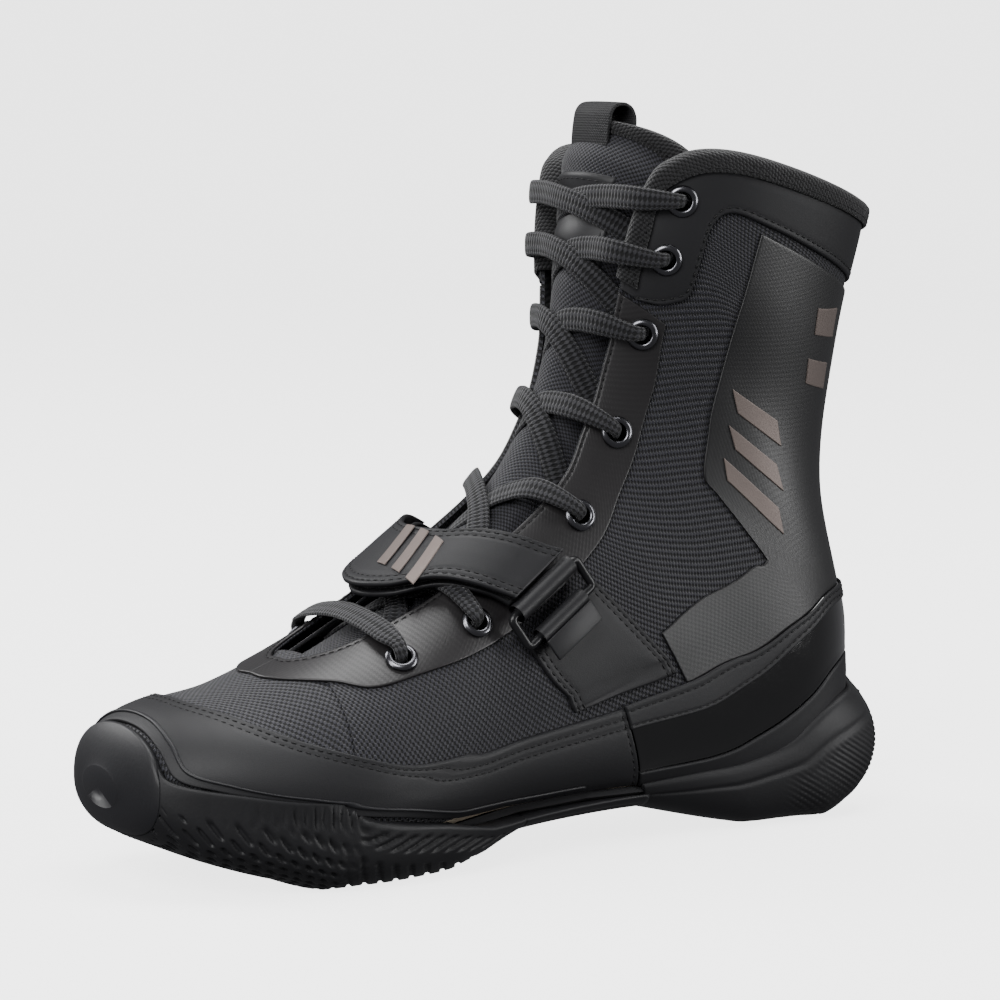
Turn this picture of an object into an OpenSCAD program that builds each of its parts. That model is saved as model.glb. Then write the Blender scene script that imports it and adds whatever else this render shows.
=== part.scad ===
// Left boxing boot: laced high shaft, instep strap on a ring, wrap-round rubber sole.
// Frame: +Z up, toe towards -X, heel towards +X, outer (lateral) side towards -Y.
// A place on the upper is given as [u, v]: u counts the stations from toe to collar and
// v turns round each station, 0 at the top or front, 90 outer side, 180 sole or back.

/* [Overall size] */
// Length over the toe bumper and the heel flare
boot_length = 302; // [240:1:360]
// Height of the shaft's front edge above the ground
boot_height = 250; // [200:1:300]
// Width of the upper across the ball of the foot
ball_width = 99; // [80:1:120]

/* [Upper layers] */
// Thickness of the knitted mesh
mesh_t = 1.3; // [0.9:0.1:2]
// Thickness of the sewn overlays
overlay_t = 0.9; // [0.6:0.1:1.6]
// Thickness of the welded film
film_t = 0.5; // [0.3:0.1:1]
// Thickness of foam, toe puff and heel counter
padding_t = 1.2; // [0.8:0.1:2]
// Thickness of the textile lining
lining_t = 1; // [0.7:0.1:1.6]
// Clearance between one layer and the next
layer_gap = 0.45; // [0.3:0.05:0.8]
// Clearance between pieces that meet edge to edge
seam_gap = 0.7; // [0.4:0.1:1.2]
// Width of the folded knit binding on the collar
binding_w = 6.5; // [4:0.5:9]
// Thickness of the binding
binding_t = 1.2; // [0.8:0.1:1.6]

/* [Eyelets and lace] */
// Inner diameter of an eyelet
eyelet_bore = 6; // [4.8:0.1:7.5]
// Outer diameter of an eyelet's flange
eyelet_flange = 11; // [9:0.5:14]
// Wall of an eyelet's barrel
eyelet_wall = 0.5; // [0.3:0.1:0.8]
// Width of the flat lace
lace_w = 7.6; // [5:0.2:9.6]
// Thickness of the lace
lace_t = 1.5; // [1:0.1:2]

/* [Strap and ring] */
// Thickness of the strap leather
strap_t = 1.5; // [1:0.1:2.2]
// Thickness of the hook and of the loop patch
hook_t = 0.7; // [0.5:0.1:1]
// Wire diameter of the ring
ring_wire = 3; // [2.4:0.1:3.8]
// Clearance between the ring's bars and what wraps them
ring_play = 0.35; // [0.3:0.05:0.5]

/* [Sole] */
// Thickness of the lasting board
board_t = 1.3; // [1:0.1:2]
// Thickness of the removable footbed
footbed_t = 3.2; // [2:0.2:5]
// Thickness of the foam midsole
midsole_t = 2.5; // [1.5:0.1:3.5]
// Thickness of the rubber toe bumper
bumper_t = 2.8; // [2:0.1:4]

/* [Tongue] */
// Thickness of the tongue's mesh and of its lining
tongue_skin_t = 1; // [0.7:0.1:1.5]
// Thickness of the tongue's foam
tongue_foam_t = 3.2; // [2:0.2:6]

/* [Hidden] */

// ---- the last: one row per station ----
// top x, top z, sole x, sole z, half width, shift to the inner side,
// share of the height at the widest level, roundness above, roundness below
STATIONS = [
    [-142,  38, -141,  27, 11,    8, 0.50, 2.0, 2.0],
    [-136,  52, -137,  20, 29,    6, 0.42, 2.1, 2.6],
    [-121,  59, -122,  16, 40,    4, 0.38, 2.1, 3.0],
    [ -98,  64, -100,  12, 47,    1, 0.34, 2.1, 3.2],
    [ -70,  76,  -74,  10, 49.5, -1, 0.32, 2.1, 3.4],
    [ -42,  92,  -44,  11, 46,   -1, 0.34, 2.1, 3.4],
    [ -18, 110,   -8,  15, 40.5,  0, 0.36, 2.1, 3.6],
    [   0, 129,   40,  16, 36.5,  0, 0.38, 2.1, 4.0],
    [  11, 147,   95,  13, 35,    0, 0.40, 2.1, 4.2],
    [  18, 164,  134,  20, 34.5,  0, 0.42, 2.1, 3.0],
    [  22, 181,  144,  62, 34,    0, 0.46, 2.1, 2.2],
    [  25, 199,  133, 115, 36,    0, 0.50, 2.1, 2.1],
    [  28, 219,  137, 164, 42,    0, 0.52, 2.1, 2.1],
    [  32, 250,  148, 213, 47,    0, 0.52, 2.1, 2.1]
];
// Scale of each axis against the sizes that the stations were drawn at
scale_x = boot_length / 302;
scale_y = ball_width / 99;
scale_z = boot_height / 250;
// Shift that puts the origin under the middle of the boot
shift_x = -4.56;
shift_y = 0.8;

function row(i) = STATIONS[min(max(i, 0), len(STATIONS) - 1)];
function catmull(a, b, c, d, t) =
    0.5 * (2 * b + (c - a) * t + (2 * a - 5 * b + 4 * c - d) * t * t
           + (3 * b - a - 3 * c + d) * t * t * t);
function station(u) =
    let (i = min(max(floor(u), 0), len(STATIONS) - 2))
    catmull(row(i - 1), row(i), row(i + 1), row(i + 2), u - i);
function signed_power(a, p) = sign(a) * pow(abs(a), p);
function framed(x, y, z) =
    [(x + shift_x) * scale_x, (y + shift_y) * scale_y, z * scale_z];

// A point of a station's ring; drop lowers the sole point and wall widens the ring
function ring_point(s, v, drop = 0, wall = 0, lower = 0) =
    let (top = [s[0], s[1]], sole = [s[2], s[3]], tall = norm(top - sole),
         up = (top - sole) / tall,
         reach = cos(v) >= 0 ? tall * (1 - s[6]) : tall * s[6] + drop,
         n = cos(v) >= 0 ? s[7] : (lower > 0 ? lower : s[8]),
         p = sole + up * (tall * s[6] + signed_power(cos(v), 2 / n) * reach))
    framed(p[0], s[5] - signed_power(sin(v), 2 / n) * (s[4] + wall), p[1]);
function last(u, v) = ring_point(station(u), v);
function outward(u, v) =
    let (n = cross(last(u, v + 0.6) - last(u, v - 0.6),
                   last(u + 0.02, v) - last(u - 0.02, v)))
    n / norm(n);
// The last's surface, lifted outwards by a distance in millimetres
function skin(u, v, lift = 0) = last(u, v) + lift * outward(u, v);

// ---- edges: lists of [u, v] or [u, v, lift] ----
function flip(p, about) = [p[0], about - p[1], p[2]];
function backwards(list) = [for (i = [len(list) - 1:-1:0]) list[i]];
function full(edge) = [for (p = edge) [p[0], p[1], len(p) > 2 ? p[2] : 0]];
// An edge that ends on the centre line goes on round the other side
function round_front(edge) = let (e = full(edge))
    concat(e, [for (i = [len(e) - 2:-1:0]) flip(e[i], 0)]);
function round_back(edge) = let (e = full(edge))
    concat(e, [for (i = [len(e) - 2:-1:0]) flip(e[i], 360)]);
function medial(edge) = [for (p = full(edge)) flip(p, 360)];
function along(edge, s) =
    let (e = full(edge), x = s * (len(e) - 1), i = min(floor(x), len(e) - 2),
         a = e[max(i - 1, 0)], d = e[min(i + 2, len(e) - 1)])
    catmull(a, e[i], e[i + 1], d, x - i);
function lay(p, lift = 0) = skin(p[0], p[1], p[2] + lift);
function mix(a, b, t) = a + (b - a) * t;

// Places of a panel between two edges, n steps along and m steps across,
// drawn in by half a seam gap on all four sides; ease over 1 crowds them towards b
function places(a, b, n, m, gap = seam_gap, ease = 1) =
    let (run = [for (i = [0:8]) lay(mix(along(a, i / 8), along(b, i / 8), 0.5))],
         length = sum([for (i = [1:8]) norm(run[i] - run[i - 1])]),
         end = gap / 2 / length)
    [for (i = [0:n])
        let (s = mix(end, 1 - end, i / n), pa = along(a, s), pb = along(b, s),
             side = gap / 2 / norm(lay(pa) - lay(pb)))
        [for (j = [0:m]) mix(pa, pb, mix(side, 1 - side, 1 - pow(1 - j / m, ease)))]];
function sum(list, i = 0) = i < len(list) ? list[i] + sum(list, i + 1) : 0;
function part_of(edge, from, to) = [for (i = [from:to]) edge[i]];
// Rows of points at the given stations and angles, at one lift
function ring_rows(rows, turns, lift) = [for (u = rows) [for (v = turns) skin(u, v, lift)]];
// Middle point of the toe's blunt front at a lift
function nose(lift) = framed(-143, 8, 32.5) - [lift, 0, 0];
function lifted(grid, lift) = [for (line = grid) [for (p = line) lay(p, lift)]];
function flat_list(grid) = [for (line = grid) each line];

// ---- solids ----
// A closed solid between two grids of points of the same size. With a nose, which is
// the outer and the inner middle point, the first row closes over it. With ringed set,
// the columns run all the way round.
module slab(outer, inner, nose = [], ringed = false) {
    n = len(outer) - 1;
    m = len(outer[0]) - 1;
    count = (n + 1) * (m + 1);
    nosed = len(nose) > 0;
    wrap = ringed ? m + 1 : m;
    points = concat(flat_list(outer), flat_list(inner), nose);
    function at(i, j) = i * (m + 1) + j % (m + 1);
    skins = [for (i = [0:n - 1], j = [0:wrap - 1]) each [
        [at(i, j), at(i + 1, j), at(i + 1, j + 1)],
        [at(i, j), at(i + 1, j + 1), at(i, j + 1)],
        [count + at(i, j), count + at(i + 1, j + 1), count + at(i + 1, j)],
        [count + at(i, j), count + at(i, j + 1), count + at(i + 1, j + 1)]]];
    fans = nosed ? [for (j = [0:wrap - 1]) each [
        [2 * count, at(0, j), at(0, j + 1)],
        [2 * count + 1, count + at(0, j + 1), count + at(0, j)]]] : [];
    first = nosed ? [[2 * count, 2 * count + 1]]
                  : [for (j = [1:m - 1]) [at(0, j), count + at(0, j)]];
    loop = ringed ? [for (j = [m:-1:0]) [at(n, j), count + at(n, j)]]
        : concat(first, [for (i = [0:n]) [at(i, m), count + at(i, m)]],
                 [for (j = [m - 1:-1:1]) [at(n, j), count + at(n, j)]],
                 [for (i = [n:-1:0]) [at(i, 0), count + at(i, 0)]]);
    rim = [for (k = [0:len(loop) - 1]) let (a = loop[k], b = loop[(k + 1) % len(loop)]) each [
        [a[0], b[0], b[1]], [a[0], b[1], a[1]]]];
    front = ringed && !nosed ? [for (j = [0:m]) each [
        [at(0, j), at(0, j + 1), count + at(0, j + 1)],
        [at(0, j), count + at(0, j + 1), count + at(0, j)]]] : [];
    // The faces are listed one way round and turned over where the grid runs the other way
    i = floor(n / 2);
    j = floor(m / 2);
    facing = cross(outer[i + 1][j] - outer[i][j], outer[i][j + 1] - outer[i][j])
        * (outer[i][j] - inner[i][j]);
    polyhedron(points, [for (f = concat(skins, fans, rim, front))
                        facing > 0 ? [f[2], f[1], f[0]] : f], 10);
}

// A layer of the upper between two edges, from lift low to lift high
module panel(a, b, n, m, low, high, gap = seam_gap, ease = 1) {
    grid = places(a, b, n, m, gap, ease);
    slab(lifted(grid, high), lifted(grid, low));
}

// The same on the outer side (side 1) or mirrored to the inner side (side -1)
module sided_panel(side, a, b, n, m, low, high, ease = 1) {
    if (side > 0) panel(a, b, n, m, low, high, seam_gap, ease);
    else panel(medial(a), medial(b), n, m, low, high, seam_gap, ease);
}

// Moves its children to a point, their +Z along an axis and their +X towards across
module place(origin, axis, across = [1, 0, 0]) {
    z = axis / norm(axis);
    tilt = acos(z[2]);
    turn = atan2(z[1], z[0]);
    x0 = [cos(turn) * cos(tilt), sin(turn) * cos(tilt), -sin(tilt)];
    y0 = cross(z, x0);
    translate(origin) rotate([0, 0, turn]) rotate([0, tilt, 0])
        rotate([0, 0, atan2(across * y0, across * x0)]) children();
}

// ---- lifts of the layers, worked inwards from the mesh's outer face ----
overlay_low = layer_gap;
overlay_high = overlay_low + overlay_t;
film_high = overlay_low + film_t;
mesh_low = -mesh_t;
padding_high = mesh_low - layer_gap;
padding_low = padding_high - padding_t;
lining_high = padding_low - layer_gap;
lining_low = lining_high - lining_t;

// ---- edges that pieces share ----
// Edge of the throat, from the front of the opening to the cut corner of the collar
THROAT = [[3.6, 0], [3.6, 5], [3.7, 10], [3.85, 14], [4.1, 18], [4.5, 22], [5, 26],
          [5.6, 30], [6.2, 33], [7, 36], [7.8, 36.5], [8.6, 34], [9.5, 35], [10.3, 38],
          [11, 40.5], [11.6, 41], [12.1, 42.5], [12.45, 46]];
// Rim of the collar, from the cut corner round to the back
RIM = [[12.45, 46], [12.62, 52], [12.78, 61], [12.9, 74], [12.96, 90], [12.98, 110],
       [12.98, 133], [12.98, 157], [12.98, 180]];
// Top edge of the sole's rubber, from the toe bumper to the back of the heel
SOLE_TOP = [[1, 66], [1.15, 82], [1.8, 88], [3, 93], [4.2, 104], [5.1, 128], [5.6, 140],
            [6, 145], [7.1, 147], [7.6, 144], [8.2, 140], [8.8, 140], [9.2, 149], [9.45, 164],
            [9.55, 180]];
TOE_GUARD_TOP = [[7.07, 93], [6.57, 93], [6, 92], [5.36, 90], [4.53, 84], [3.88, 74],
                 [3.2, 59], [2.7, 43], [2.35, 28], [2.14, 14], [2.1, 0]];
TOE_GUARD_FOOT = [[7.07, 141], [6.6, 140], [6, 138], [5.2, 125], [4.2, 101], [3, 90],
                  [1.9, 85], [1.2, 76], [1.06, 50], [1.04, 24], [1.03, 0]];
PATENT_TOP = [[7.07, 93], [7.74, 91.5], [8.5, 92], [9.15, 98], [9.65, 113], [10.05, 131],
              [10.3, 153], [10.4, 180]];
PATENT_FOOT = [[7.07, 126], [7.6, 119], [8.24, 112], [8.8, 113], [9.3, 123], [9.65, 140],
               [9.85, 160], [9.9, 180]];
BAND_FOOT = [[7.07, 143], [7.6, 140], [8.2, 136], [8.8, 136], [9.25, 145], [9.55, 160],
             [9.68, 170], [9.7, 180]];

// ---- sole ----
// Thickness of rubber and midsole under the foot, by station
DROP = [[0.9, 2.5], [2, 6.5], [3, 9.4], [3.5, 12.4], [4, 11.6], [5.2, 13], [5.6, 11],
        [6, 6.5], [7.1, 5.5], [7.5, 11], [7.8, 15], [8.3, 16.5], [8.5, 18], [8.75, 15.5],
        [9, 14.5], [9.3, 15], [9.6, 16.5], [9.8, 17]];
// How far the rubber stands out beside the last, by station
WALL = [[0.9, 3], [2, 2.4], [4, 1.6], [7, 1.6], [8, 2], [9, 2.5], [9.8, 3]];
sole_roundness = 5;
// Angle on the sole's outer ring where its wall stops, by station
WALL_TOP = [[1, 66], [1.15, 78], [1.8, 84], [3, 87], [4.2, 93], [5.1, 102], [5.6, 116],
            [6, 133], [7.1, 136], [7.6, 124], [8.2, 119], [8.8, 117], [9.2, 126],
            [9.5, 144], [9.75, 174]];
function tread(u, v) =
    let (p = ring_point(station(u), v, lookup(u, DROP), lookup(u, WALL), sole_roundness))
    [p[0], p[1], max(p[2], 0)];
// The rubber steps down under the foot to take the midsole
function rubber_seat(v) =
    layer_gap + (midsole_t + layer_gap) * max(0, min(1, (abs(v - 180) - 53) / -8));

module sole_piece(from, to, n, m) {
    seat = places(part_of(SOLE_TOP, from, to), medial(part_of(SOLE_TOP, from, to)), n, m);
    shell = places(part_of(WALL_TOP, from, to), medial(part_of(WALL_TOP, from, to)), n, m);
    slab([for (line = shell) [for (p = line) tread(p[0], p[1])]],
         [for (line = seat) [for (p = line) skin(p[0], p[1], rubber_seat(p[1]))]]);
}
module outsole_forefoot() {
    color("#1b1b1d") sole_piece(0, 7, 18, 14);
}
module arch_bridge() {
    color("#232325") sole_piece(7, 8, 3, 14);
}
module outsole_heel() {
    color("#1b1b1d") sole_piece(8, 14, 12, 14);
}
module toe_bumper() {
    rows = [0, 0.2, 0.45, 0.7, 0.97];
    turns = [for (j = [0:23]) j * 15];
    low = layer_gap;
    high = low + bumper_t;
    color("#202022") slab(ring_rows(rows, turns, high), ring_rows(rows, turns, low),
                          [nose(high), nose(low)], true);
}
module midsole() {
    edge = [[1.3, 143], [2, 142], [3, 142], [4, 142], [5, 142], [6, 142], [7, 142],
            [8, 142], [8.5, 145], [8.8, 152], [9, 163]];
    color("#e4e2dc") panel(edge, medial(edge), 16, 6, layer_gap, layer_gap + midsole_t);
}

// ---- foot bed ----
module lasting_board() {
    edge = [[0.5, 150], [1, 136], [2, 131], [3, 130], [4, 130], [5, 130], [6, 132], [7, 134],
            [7.7, 135], [8.2, 137], [8.6, 142], [8.9, 150], [9.12, 160], [9.22, 170]];
    color("#cfc8ba") panel(edge, medial(edge), 16, 6, -board_t, 0);
}
module footbed() {
    edge = [[0.75, 158], [1.05, 144], [2, 137], [3, 136], [4, 136], [5, 136], [6, 137],
            [7, 139], [8, 141], [8.5, 146], [8.8, 154], [8.95, 166]];
    top = -board_t - 2 * layer_gap - 0.2;
    color("#3a3b40") panel(edge, medial(edge), 16, 6, top - footbed_t, top);
}

// ---- inner layers ----
module toe_cap(rows, v_end, m, low, high) {
    turns = [for (j = [0:m]) mix(v_end, -v_end, j / m)];
    slab(ring_rows(rows, turns, high), ring_rows(rows, turns, low), [nose(high), nose(low)]);
}
module toe_puff() {
    color("#b9b3a4") toe_cap(part_of(CAP_ROWS, 0, 4), 126, 20, padding_low, padding_high);
}
CAP_ROWS = [0, 0.4, 0.8, 1.3, 1.9, 2.5, 3.1, 3.665];
module vamp_lining() {
    color("#2c2d33") toe_cap(CAP_ROWS, 126, 20, lining_low, lining_high);
}
module vamp_mesh() {
    color("#1d1d24") toe_cap(CAP_ROWS, 126, 20, mesh_low, 0);
}
module heel_counter() {
    top = [[7.6, 100], [8.3, 98], [9, 99], [9.6, 112], [10.1, 130], [10.45, 152], [10.6, 180]];
    foot = [[7.6, 128], [8.1, 130], [8.5, 135], [8.85, 145], [9.15, 158], [9.4, 170], [9.55, 180]];
    color("#b9b3a4") panel(round_back(foot), round_back(top), 22, 4, padding_low, padding_high);
}
// Quarters: from the throat and the rim down to the sole and back to the rear seam
QUARTER_FRONT = concat(part_of(THROAT, 2, 17), part_of(RIM, 1, 7));
QUARTER_BACK = [[3.7, 127], [4.1, 127], [4.6, 127], [5.1, 128], [5.6, 128], [6.2, 129],
                [6.8, 130], [7.4, 131], [8, 133], [8.4, 137], [8.7, 143], [8.95, 152],
                [9.15, 162], [9.35, 172], [9.62, 179.5], [10.1, 180], [10.6, 180], [11.1, 180],
                [11.6, 180], [12, 180], [12.5, 180], [12.98, 180]];
quarter_rows = 34;
quarter_cols = 8;
quarter_ease = 1.5;
module quarter(side, low, high) {
    difference() {
        sided_panel(side, QUARTER_FRONT, QUARTER_BACK, quarter_rows, quarter_cols, low, high,
                    quarter_ease);
        eyelet_holes(side);
    }
}
module quarter_mesh_lateral() {
    color("#1d1d24") quarter(1, mesh_low, 0);
}
module quarter_mesh_medial() {
    color("#1d1d24") quarter(-1, mesh_low, 0);
}
module quarter_lining_lateral() {
    color("#2c2d33") quarter(1, lining_low, lining_high);
}
module quarter_lining_medial() {
    color("#2c2d33") quarter(-1, lining_low, lining_high);
}

// Soft padding behind the Achilles tendon, on the same grid as the quarters beside it
module collar_foam() {
    color("#8c8a86") for (side = [1, -1]) {
        grid = side > 0
            ? places(QUARTER_FRONT, QUARTER_BACK, quarter_rows, quarter_cols, seam_gap, quarter_ease)
            : places(medial(QUARTER_FRONT), medial(QUARTER_BACK), quarter_rows, quarter_cols,
                     seam_gap, quarter_ease);
        rows = part_of(grid, quarter_rows - 7, quarter_rows);
        slab(lifted(rows, padding_high), lifted(rows, padding_low));
    }
}

// ---- overlays ----
module toe_guard() {
    color("#2b2b2d") panel(round_front(TOE_GUARD_FOOT), round_front(TOE_GUARD_TOP), 34, 4,
                           overlay_low, overlay_high);
}
EYESTAY_OUTER = [[3.2, 0], [3.2, 8], [3.3, 16], [3.5, 25], [3.75, 34], [4.1, 46], [4.7, 53],
                 [5.4, 60], [6, 63], [6.8, 62], [7.6, 58], [8.4, 52.5], [9.3, 51.5],
                 [10.2, 56], [11, 61]];
module eyestay(side) {
    difference() {
        sided_panel(side, part_of(THROAT, 0, 14), EYESTAY_OUTER, 26, 2, overlay_low, film_high);
        eyelet_holes(side);
    }
}
module eyestay_lateral() {
    color("#37363a") eyestay(1);
}
module eyestay_medial() {
    color("#37363a") eyestay(-1);
}
COLLAR_OUTER = concat([[11.05, 41], [11.6, 41], [12.1, 42.5]], part_of(RIM, 0, 8));
COLLAR_LOWER = [[11.05, 49], [11.15, 57], [11.3, 63], [11.5, 68], [11.95, 69.5], [12.25, 71],
                [12.4, 77], [12.42, 92], [12.42, 111], [12.42, 133], [12.42, 157], [12.42, 180]];
module collar_panel(side) {
    difference() {
        sided_panel(side, COLLAR_OUTER, COLLAR_LOWER, 22, 3, overlay_low, overlay_high);
        eyelet_holes(side);
    }
}
module collar_panel_lateral() {
    color("#2e2e30") collar_panel(1);
}
module collar_panel_medial() {
    color("#2e2e30") collar_panel(-1);
}
module rear_film(side) {
    front = [[7.75, 86], [8.3, 83], [9, 85], [9.55, 92], [9.58, 80], [9.6, 71], [10.3, 75],
             [11, 83], [11.7, 87], [12.37, 89]];
    back = [[7.8, 90], [8.5, 90.5], [9.13, 95], [9.63, 109], [10.02, 126], [10.28, 147],
            [10.42, 168], [10.9, 179], [11.6, 180], [12.37, 180]];
    sided_panel(side, front, back, 16, 8, overlay_low, film_high, 1.3);
}
module rear_film_lateral() {
    color("#26262a") rear_film(1);
}
module rear_film_medial() {
    color("#26262a") rear_film(-1);
}
module saddle(side) {
    front = [[6.16, 69], [6.37, 83], [6.57, 91.5]];
    rear = [[7.28, 65], [7.53, 80], [7.7, 90.5]];
    sided_panel(side, front, rear, 4, 4, overlay_low, overlay_high);
}
module saddle_lateral() {
    color("#2d2d2f") saddle(1);
}
module saddle_medial() {
    color("#2d2d2f") saddle(-1);
}
module heel_patent() {
    color("#0c0c0e") panel(round_back(PATENT_FOOT), round_back(PATENT_TOP), 28, 4,
                           overlay_low, overlay_high);
}
module heel_band() {
    color("#29292b") panel(round_back(BAND_FOOT), round_back(PATENT_FOOT), 28, 2,
                           overlay_low, overlay_high);
}
binding_in_high = lining_low - layer_gap - 0.55;
// Knit binding folded over the rim and down both edges of the throat
module collar_binding() {
    edge = round_back(concat([[11.2, 40.7], [11.6, 41], [12.1, 42.5]], part_of(RIM, 0, 8)));
    inward = round_back([[11.2, 50], [11.55, 50], [12, 51.5], [12.22, 54], [12.36, 58],
                         [12.53, 66], [12.65, 77], [12.71, 91], [12.72, 110], [12.72, 133],
                         [12.72, 157], [12.72, 180]]);
    steps = 46;
    out_low = overlay_high + layer_gap;
    in_high = binding_in_high;
    function leg(i, reach, lift) =
        let (e = along(edge, i / steps), w = along(inward, i / steps),
             k = reach / norm(lay(e) - lay(w)))
        lay(mix(e, w, k), lift);
    function fold(i, grow) = [
        leg(i, binding_w, out_low + grow), leg(i, 0.6, out_low + grow),
        leg(i, -1 - grow, 0.5 + grow), leg(i, -1 - grow, lining_high - grow),
        leg(i, 0.6, in_high - grow), leg(i, binding_w, in_high - grow)];
    color("#1a1a1c") slab([for (i = [0:steps]) backwards(fold(i, binding_t))],
                          [for (i = [0:steps]) backwards(fold(i, 0))]);
}

// ---- eyelets ----
// Each as [u, v, v of the throat's edge beside it], from the collar down
EYELETS = [[12.35, 58, 46], [11.75, 56.5, 41.5], [10.65, 51, 38.5], [9, 44, 34],
           [7.55, 48.5, 36.3], [5.6, 51, 30], [4.55, 42, 22]];
barrel_r = eyelet_bore / 2 + eyelet_wall;
hole_r = barrel_r + 0.3;
flange_low = overlay_high + 0.3;
flange_t = 1;
washer_high = lining_low - 1.4;
washer_t = 0.5;
module at_eyelets(side) {
    for (e = EYELETS)
        place(skin(e[0], side * e[1]), outward(e[0], side * e[1])) children();
}
module eyelet_holes(side) {
    at_eyelets(side) translate([0, 0, -10]) cylinder(r = hole_r, h = 20, $fn = 32);
}
module eyelets(side) {
    color("#4c4c50") at_eyelets(side) rotate_extrude($fn = 48) polygon([
        [eyelet_bore / 2, washer_high - washer_t], [barrel_r, washer_high - washer_t],
        [barrel_r, flange_low], [eyelet_flange / 2, flange_low],
        [eyelet_flange / 2, flange_low + flange_t * 0.4],
        [eyelet_flange / 2 - 0.6, flange_low + flange_t],
        [eyelet_bore / 2 + 0.5, flange_low + flange_t], [eyelet_bore / 2, flange_low + 0.5]]);
}
module eyelets_lateral() {
    eyelets(1);
}
module eyelets_medial() {
    eyelets(-1);
}
module washers(side) {
    color("#5a5a5e") at_eyelets(side) translate([0, 0, washer_high - washer_t])
        difference() {
            cylinder(d = eyelet_flange - 2, h = washer_t, $fn = 48);
            translate([0, 0, -1]) cylinder(r = barrel_r + 0.05, h = washer_t + 2, $fn = 48);
        }
}
module eyelet_washers_lateral() {
    washers(1);
}
module eyelet_washers_medial() {
    washers(-1);
}

// ---- lace ----
// Levels of the lace against the mesh's outer face
lace_under = binding_in_high - binding_t - 0.9 - lace_t / 2;
// The binding doesn't reach the lower eyelets, so the lace runs closer to the lining there
function under(e) = e[0] > 11 ? lace_under : lining_low - 1.6 - lace_t / 2;
lace_over = flange_low + flange_t + lace_t / 2 + 0.8;
bore_w = eyelet_bore * 0.36;
bore_t = eyelet_bore * 0.2;
// One crossing from the bore of eyelet a on one side to the bore of eyelet b on the other:
// under the throat's edge, over the tongue, over the other edge and in from outside.
// A point is [u, v, lift, half width, half thickness].
function crossing(a, b, side, level) =
    let (hw = lace_w / 2, ht = lace_t / 2)
    [[a[0], side * a[1], -1.5, bore_w, bore_t],
     [a[0], side * (a[1] - 0.5), washer_high - 1.8, bore_w, bore_t],
     [mix(a[0], b[0], 0.12), side * (a[2] - 1), under(a) - 0.1, hw, ht],
     [mix(a[0], b[0], 0.32), side * a[2] * 0.5, mix(under(a), level, 0.6), hw, ht],
     [mix(a[0], b[0], 0.5), 0, level, hw, ht],
     [mix(a[0], b[0], 0.68), -side * b[2] * 0.5, mix(level, lace_over, 0.25), hw, ht],
     [mix(a[0], b[0], 0.83), side * (5 - b[2]), lace_over - (b[0] > 11 ? 0 : 2.2), hw, ht],
     [mix(a[0], b[0], 0.95), side * (5.2 - b[1]), lace_over + 0.3, 2.8, 1],
     [b[0], side * (0.8 - b[1]), flange_low + 1.3, bore_w, bore_t]];
// A lace end: in through the top eyelet and down between the tongue and the lining
function tail(e, side) =
    let (low = lining_low - 1.5)
    [[e[0], side * e[1], -1.5, bore_w, bore_t],
     [e[0], side * (e[1] + 0.5), washer_high - 1.8, bore_w, bore_t],
     [e[0] - 0.1, side * (e[1] + 5), lace_under, 2.8, 0.8],
     [e[0] - 0.3, side * (e[1] + 12), low - 0.6, lace_w / 2, 0.7],
     [e[0] - 0.7, side * (e[1] + 19), low, lace_w / 2, 0.7],
     [e[0] - 1.3, side * (e[1] + 25), low, lace_w / 2, 0.7],
     [e[0] - 1.9, side * (e[1] + 29), low, lace_w / 2, 0.7],
     [e[0] - 2.5, side * (e[1] + 32), low, lace_w / 2, 0.7],
     [e[0] - 3, side * (e[1] + 34), low - 0.9, 1.5, 1]];
function strand(side) = concat(
    [for (k = [6:-1:1]) let (s = k % 2 == 0 ? side : -side)
        each crossing(EYELETS[k], EYELETS[k - 1], s, lace_under + (s > 0 ? 4.4 : 2))],
    tail(EYELETS[0], side));
// The bar across the bottom pair of eyelets, outside
function bar() =
    let (e = EYELETS[6], hw = lace_w / 2, ht = lace_t / 2)
    [[e[0], e[1] - 0.8, flange_low + 1.3, bore_w, bore_t],
     [e[0], e[1] - 4.6, lace_over + 0.2, 2.5, 1],
     [e[0] - 0.05, e[1] - 12, lace_over, hw, ht],
     [e[0] - 0.1, e[1] * 0.35, lace_over - 1, hw, ht],
     [e[0] - 0.1, 0, lace_over - 1.5, hw, ht]];
function lace_route() =
    let (half = bar(), back = [for (i = [len(half) - 2:-1:0])
             [half[i][0], -half[i][1], half[i][2], half[i][3], half[i][4]]])
    concat(backwards(strand(1)), half, back, strand(-1));
function lace_ring(route, i) =
    let (p = route[i], a = route[max(i - 1, 0)], b = route[min(i + 1, len(route) - 1)],
         along_path = lay(b) - lay(a), t = along_path / norm(along_path),
         climb = last(p[0] + 0.05, p[1]) - last(p[0] - 0.05, p[1]),
         across = climb - (climb * t) * t, w = across / norm(across), h = cross(t, w))
    [for (k = [0:7]) lay(p) + w * p[3] * cos(k * 45 + 22.5) + h * p[4] * sin(k * 45 + 22.5)];
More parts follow.
